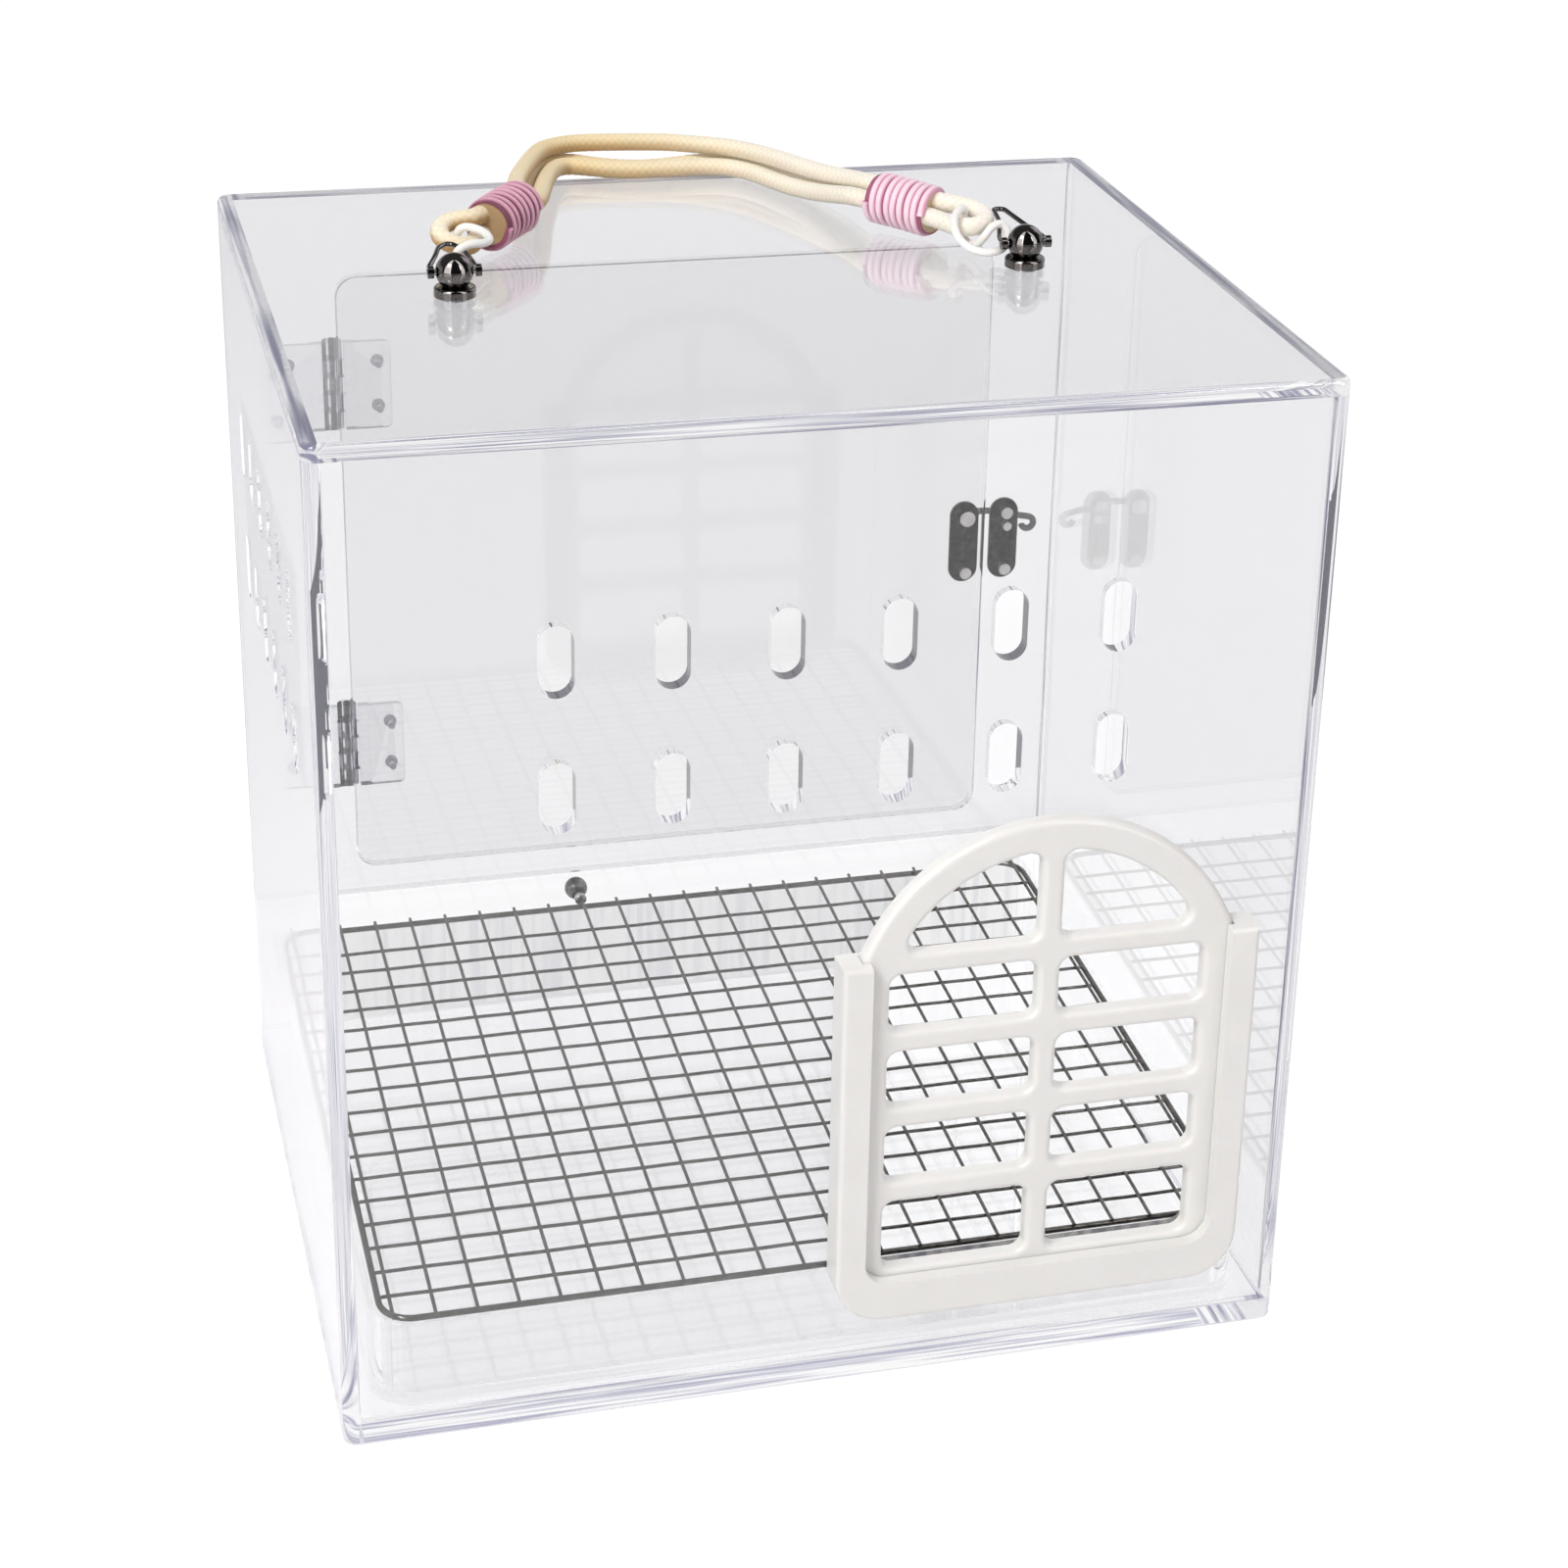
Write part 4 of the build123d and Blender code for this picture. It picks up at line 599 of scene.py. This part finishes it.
# Painted shade: the braid is darker between its lumps, where its grooves lie.
shade_between_lumps = add_node(rope_cotton, "ShaderNodeMix", {"data_type": "RGBA", "blend_type": "MULTIPLY"},
                         Factor=0.3, i6=shaded_tone, i7=linear("#D9C7A0")).outputs[2]
braid_colour_and_shade = mix_colours(rope_cotton, braid_lump, shade_between_lumps, shaded_tone)
fibre = add_node(rope_cotton, "ShaderNodeTexNoise", Vector=place, Scale=2600.0, Detail=3.0).outputs[0]
fibre_bump = add_node(rope_cotton, "ShaderNodeBump", Strength=0.35, Distance=0.0002, Height=fibre).outputs[0]
rope_body = add_node(rope_cotton, "ShaderNodeBsdfPrincipled", Base_Color=braid_colour_and_shade, Roughness=0.8,
                     Normal=fibre_bump, Sheen_Weight=0.25, Subsurface_Weight=0.25,
                     Subsurface_Scale=0.002).outputs[0]
add_node(rope_cotton, "ShaderNodeOutputMaterial", Surface=rope_body)
rope.data.materials.append(rope_cotton)
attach(rope, "handle")
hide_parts("handle_rope")

# The whippings are turns of a round waxed cord over an under-layer that shows in the gaps, dusty rose on
# the left and pale pink on the right. The under-layer's dark rose and the turns' darkening towards the gaps
# are painted shade. The turns are a little uneven, as wound by hand. At a whipping's mouth the tan strands
# packed inside it show, painted darker as shade.
WHIP_OUTER = 0.0085
UNDER_LAYER_RADIUS, UNDER_LAYER_INSET = 0.0075, 0.0012
POINTS_PER_TURN = 12
SLOW_DRIFT, TURN_DRIFT = 0.00022, 0.00018     # how far the turns stray along the axis, in metres
SWELL = 0.012                                 # how much the turns' radius swells, as a share
LEFT_WHIP = ((-74.35, 38.7, 330.6), (-59.85, 58.6, 331.4))
RIGHT_WHIP = ((54.5, 49.7, 331.5), (69.7, 30.6, 330.5))
LEFT_TURNS, LEFT_CORD_RADIUS = 7, 0.0012
RIGHT_TURNS, RIGHT_CORD_RADIUS = 8, 0.00128
GROOVE_DEPTHS = (0.0077, 0.00835)             # radii at which the painted groove shade is darkest and gone
MOUTH_DEPTHS = (0.0066, 0.0072)               # radii between which the strands give way to the under-layer


def whipping(name, start, end, turns, cord_radius, material):
    """A winding of cord about the line from start to end, in millimetres."""
    first, last = Vector(start) * MM, Vector(end) * MM
    length = (last - first).length
    axis = (last - first).normalized()
    side_way = axis.cross(Vector((0, 0, 1))).normalized()
    other_way = axis.cross(side_way)
    count = turns * POINTS_PER_TURN
    points = []
    for i in range(count + 1):
        share = i / count
        angle = 2 * pi * turns * share
        uneven = SLOW_DRIFT * sin(angle * 0.37 + 0.6) * sin(pi * share) + TURN_DRIFT * sin(angle + 1.9)
        centre = first + axis * (cord_radius + uneven + (length - 2 * cord_radius) * share)
        reach = (WHIP_OUTER - cord_radius) / cos(pi / POINTS_PER_TURN)
        reach *= 1 + SWELL * sin(5.3 * share * turns + 1.0)
        points.append(tuple((centre + side_way * reach * cos(angle) + other_way * reach * sin(angle)) / MM))
    piece = new_route(name, points, cord_radius, steps=3, roundness=3)
    piece.data.materials.append(material)
    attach(piece, "handle")
    return piece


def under_layer(name, start, end, material):
    """The closed inner winding that the outer turns lie on."""
    first, last = Vector(start) * MM, Vector(end) * MM
    mesh = bpy.data.meshes.new(name)
    shape = bmesh.new()
    bmesh.ops.create_cone(shape, cap_ends=True, segments=64, radius1=UNDER_LAYER_RADIUS,
                          radius2=UNDER_LAYER_RADIUS, depth=(last - first).length - 2 * UNDER_LAYER_INSET)
    turn = (last - first).to_track_quat("Z", "Y").to_matrix().to_4x4()
    bmesh.ops.transform(shape, matrix=Matrix.Translation((first + last) / 2) @ turn, verts=shape.verts)
    shape.to_mesh(mesh)
    shape.free()
    piece = add_object(name, mesh)
    piece.data.materials.append(material)
    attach(piece, "handle")


def round_cord(name, light_colour, dark_colour, groove=None):
    """Cord with a fine fibre. A groove gives a winding's axis, two radii and the colour at the inner one."""
    material = new_material(name)
    place = add_node(material, "ShaderNodeTexCoord").outputs["Object"]
    fibre = add_node(material, "ShaderNodeTexNoise", Vector=place, Scale=1500.0, Detail=3.0).outputs[0]
    colour = mix_colours(material, fibre, linear(dark_colour), linear(light_colour))
    if groove:
        (start, end), (deep, shallow), groove_colour = groove
        first, last = Vector(start) * MM, Vector(end) * MM
        from_start = add_node(material, "ShaderNodeVectorMath", {"operation": "SUBTRACT"}, i0=place,
                              i1=tuple(first)).outputs[0]
        across = add_node(material, "ShaderNodeVectorMath", {"operation": "CROSS_PRODUCT"}, i0=from_start,
                          i1=tuple((last - first).normalized())).outputs[0]
        reach = add_node(material, "ShaderNodeVectorMath", {"operation": "LENGTH"}, i0=across).outputs[1]
        away_from_axis = add_node(material, "ShaderNodeMapRange", i0=reach, i1=deep, i2=shallow).outputs[0]
        colour = mix_colours(material, away_from_axis, linear(groove_colour), colour)
    bump = add_node(material, "ShaderNodeBump", Strength=0.3, Distance=0.0002, Height=fibre).outputs[0]
    body = add_node(material, "ShaderNodeBsdfPrincipled", Base_Color=colour, Roughness=0.55, Normal=bump,
                    Sheen_Weight=0.2, Subsurface_Weight=0.15, Subsurface_Scale=0.001).outputs[0]
    add_node(material, "ShaderNodeOutputMaterial", Surface=body)
    return material


# Painted shade: on the turns, the groove colour darkens the cord towards the gaps.
rose = round_cord("waxed_cord_rose", "#E6B4C6", "#D6A0B4", (LEFT_WHIP, GROOVE_DEPTHS, "#8A4460"))
pink = round_cord("waxed_cord_pink", "#FBE4EC", "#F4CEDC", (RIGHT_WHIP, GROOVE_DEPTHS, "#DCA0BA"))
# Painted shade: the under-layers are a dark rose for the shade in the gaps between the turns. Their ends near
# the axis take the strands' tan, painted darker for the shade inside the mouth.
left_under = round_cord("waxed_cord_under_left", "#7E3450", "#5C2038", (LEFT_WHIP, MOUTH_DEPTHS, "#A88A64"))
right_under = round_cord("waxed_cord_under_right", "#A85C7C", "#8E4464",
                         (RIGHT_WHIP, MOUTH_DEPTHS, "#CDB892"))
left_turns = whipping("left_whipping_cord", *LEFT_WHIP, LEFT_TURNS, LEFT_CORD_RADIUS, rose)
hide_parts("left_whipping")
right_turns = whipping("right_whipping_cord", *RIGHT_WHIP, RIGHT_TURNS, RIGHT_CORD_RADIUS, pink)
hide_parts("right_whipping")
under_layer("left_under_layer", *LEFT_WHIP, left_under)
under_layer("right_under_layer", *RIGHT_WHIP, right_under)

# A loop of smooth white polyester cord ties each eye of the rope to its bail, with its join melted shut.
LINK_RADIUS = 0.0013
LEFT_LINK_ROUTE = [
    (-84.7, 31.9, 330.0),
    (-83.2, 30.8, 333.2),
    (-79.6, 28.6, 333.4),
    (-76.4, 24.6, 332.6),
    (-75.8, 19.6, 331.8),
    (-78.6, 15.6, 332.0),
    (-83.0, 13.4, 332.9),
    (-87.2, 13.2, 331.0),
    (-87.4, 14.6, 327.8),
    (-84.8, 17.0, 325.4),
    (-84.0, 21.5, 323.9),
    (-84.2, 27.5, 323.1),
    (-84.8, 31.8, 324.6),
    (-85.0, 32.6, 327.4),
]
RIGHT_LINK_ROUTE = [
    (76.2, 22.8, 330.4),
    (76.4, 22.4, 333.6),
    (74.0, 18.6, 335.4),
    (70.3, 14.2, 333.4),
    (69.6, 9.0, 329.4),
    (72.2, 4.2, 326.4),
    (76.6, 1.3, 325.3),
    (81.6, 1.7, 325.4),
    (85.5, 5.4, 326.2),
    (87.0, 8.2, 329.4),
    (85.0, 9.6, 332.4),
    (81.4, 8.8, 331.6),
    (79.0, 8.8, 328.0),
    (77.6, 11.4, 325.0),
    (76.6, 15.6, 324.0),
    (76.0, 20.4, 324.2),
    (76.1, 23.0, 327.2),
]
white = round_cord("white_round_cord", "#FBFAF7", "#EDEAE4")
for name, route, node in (("left_link_cord", LEFT_LINK_ROUTE, "left_link"),
                          ("right_link_cord", RIGHT_LINK_ROUTE, "right_link")):
    link = new_route(name, route, LINK_RADIUS, closed=True, steps=10, roundness=5)
    link.data.materials.append(white)
    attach(link, "handle")
    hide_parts(node)
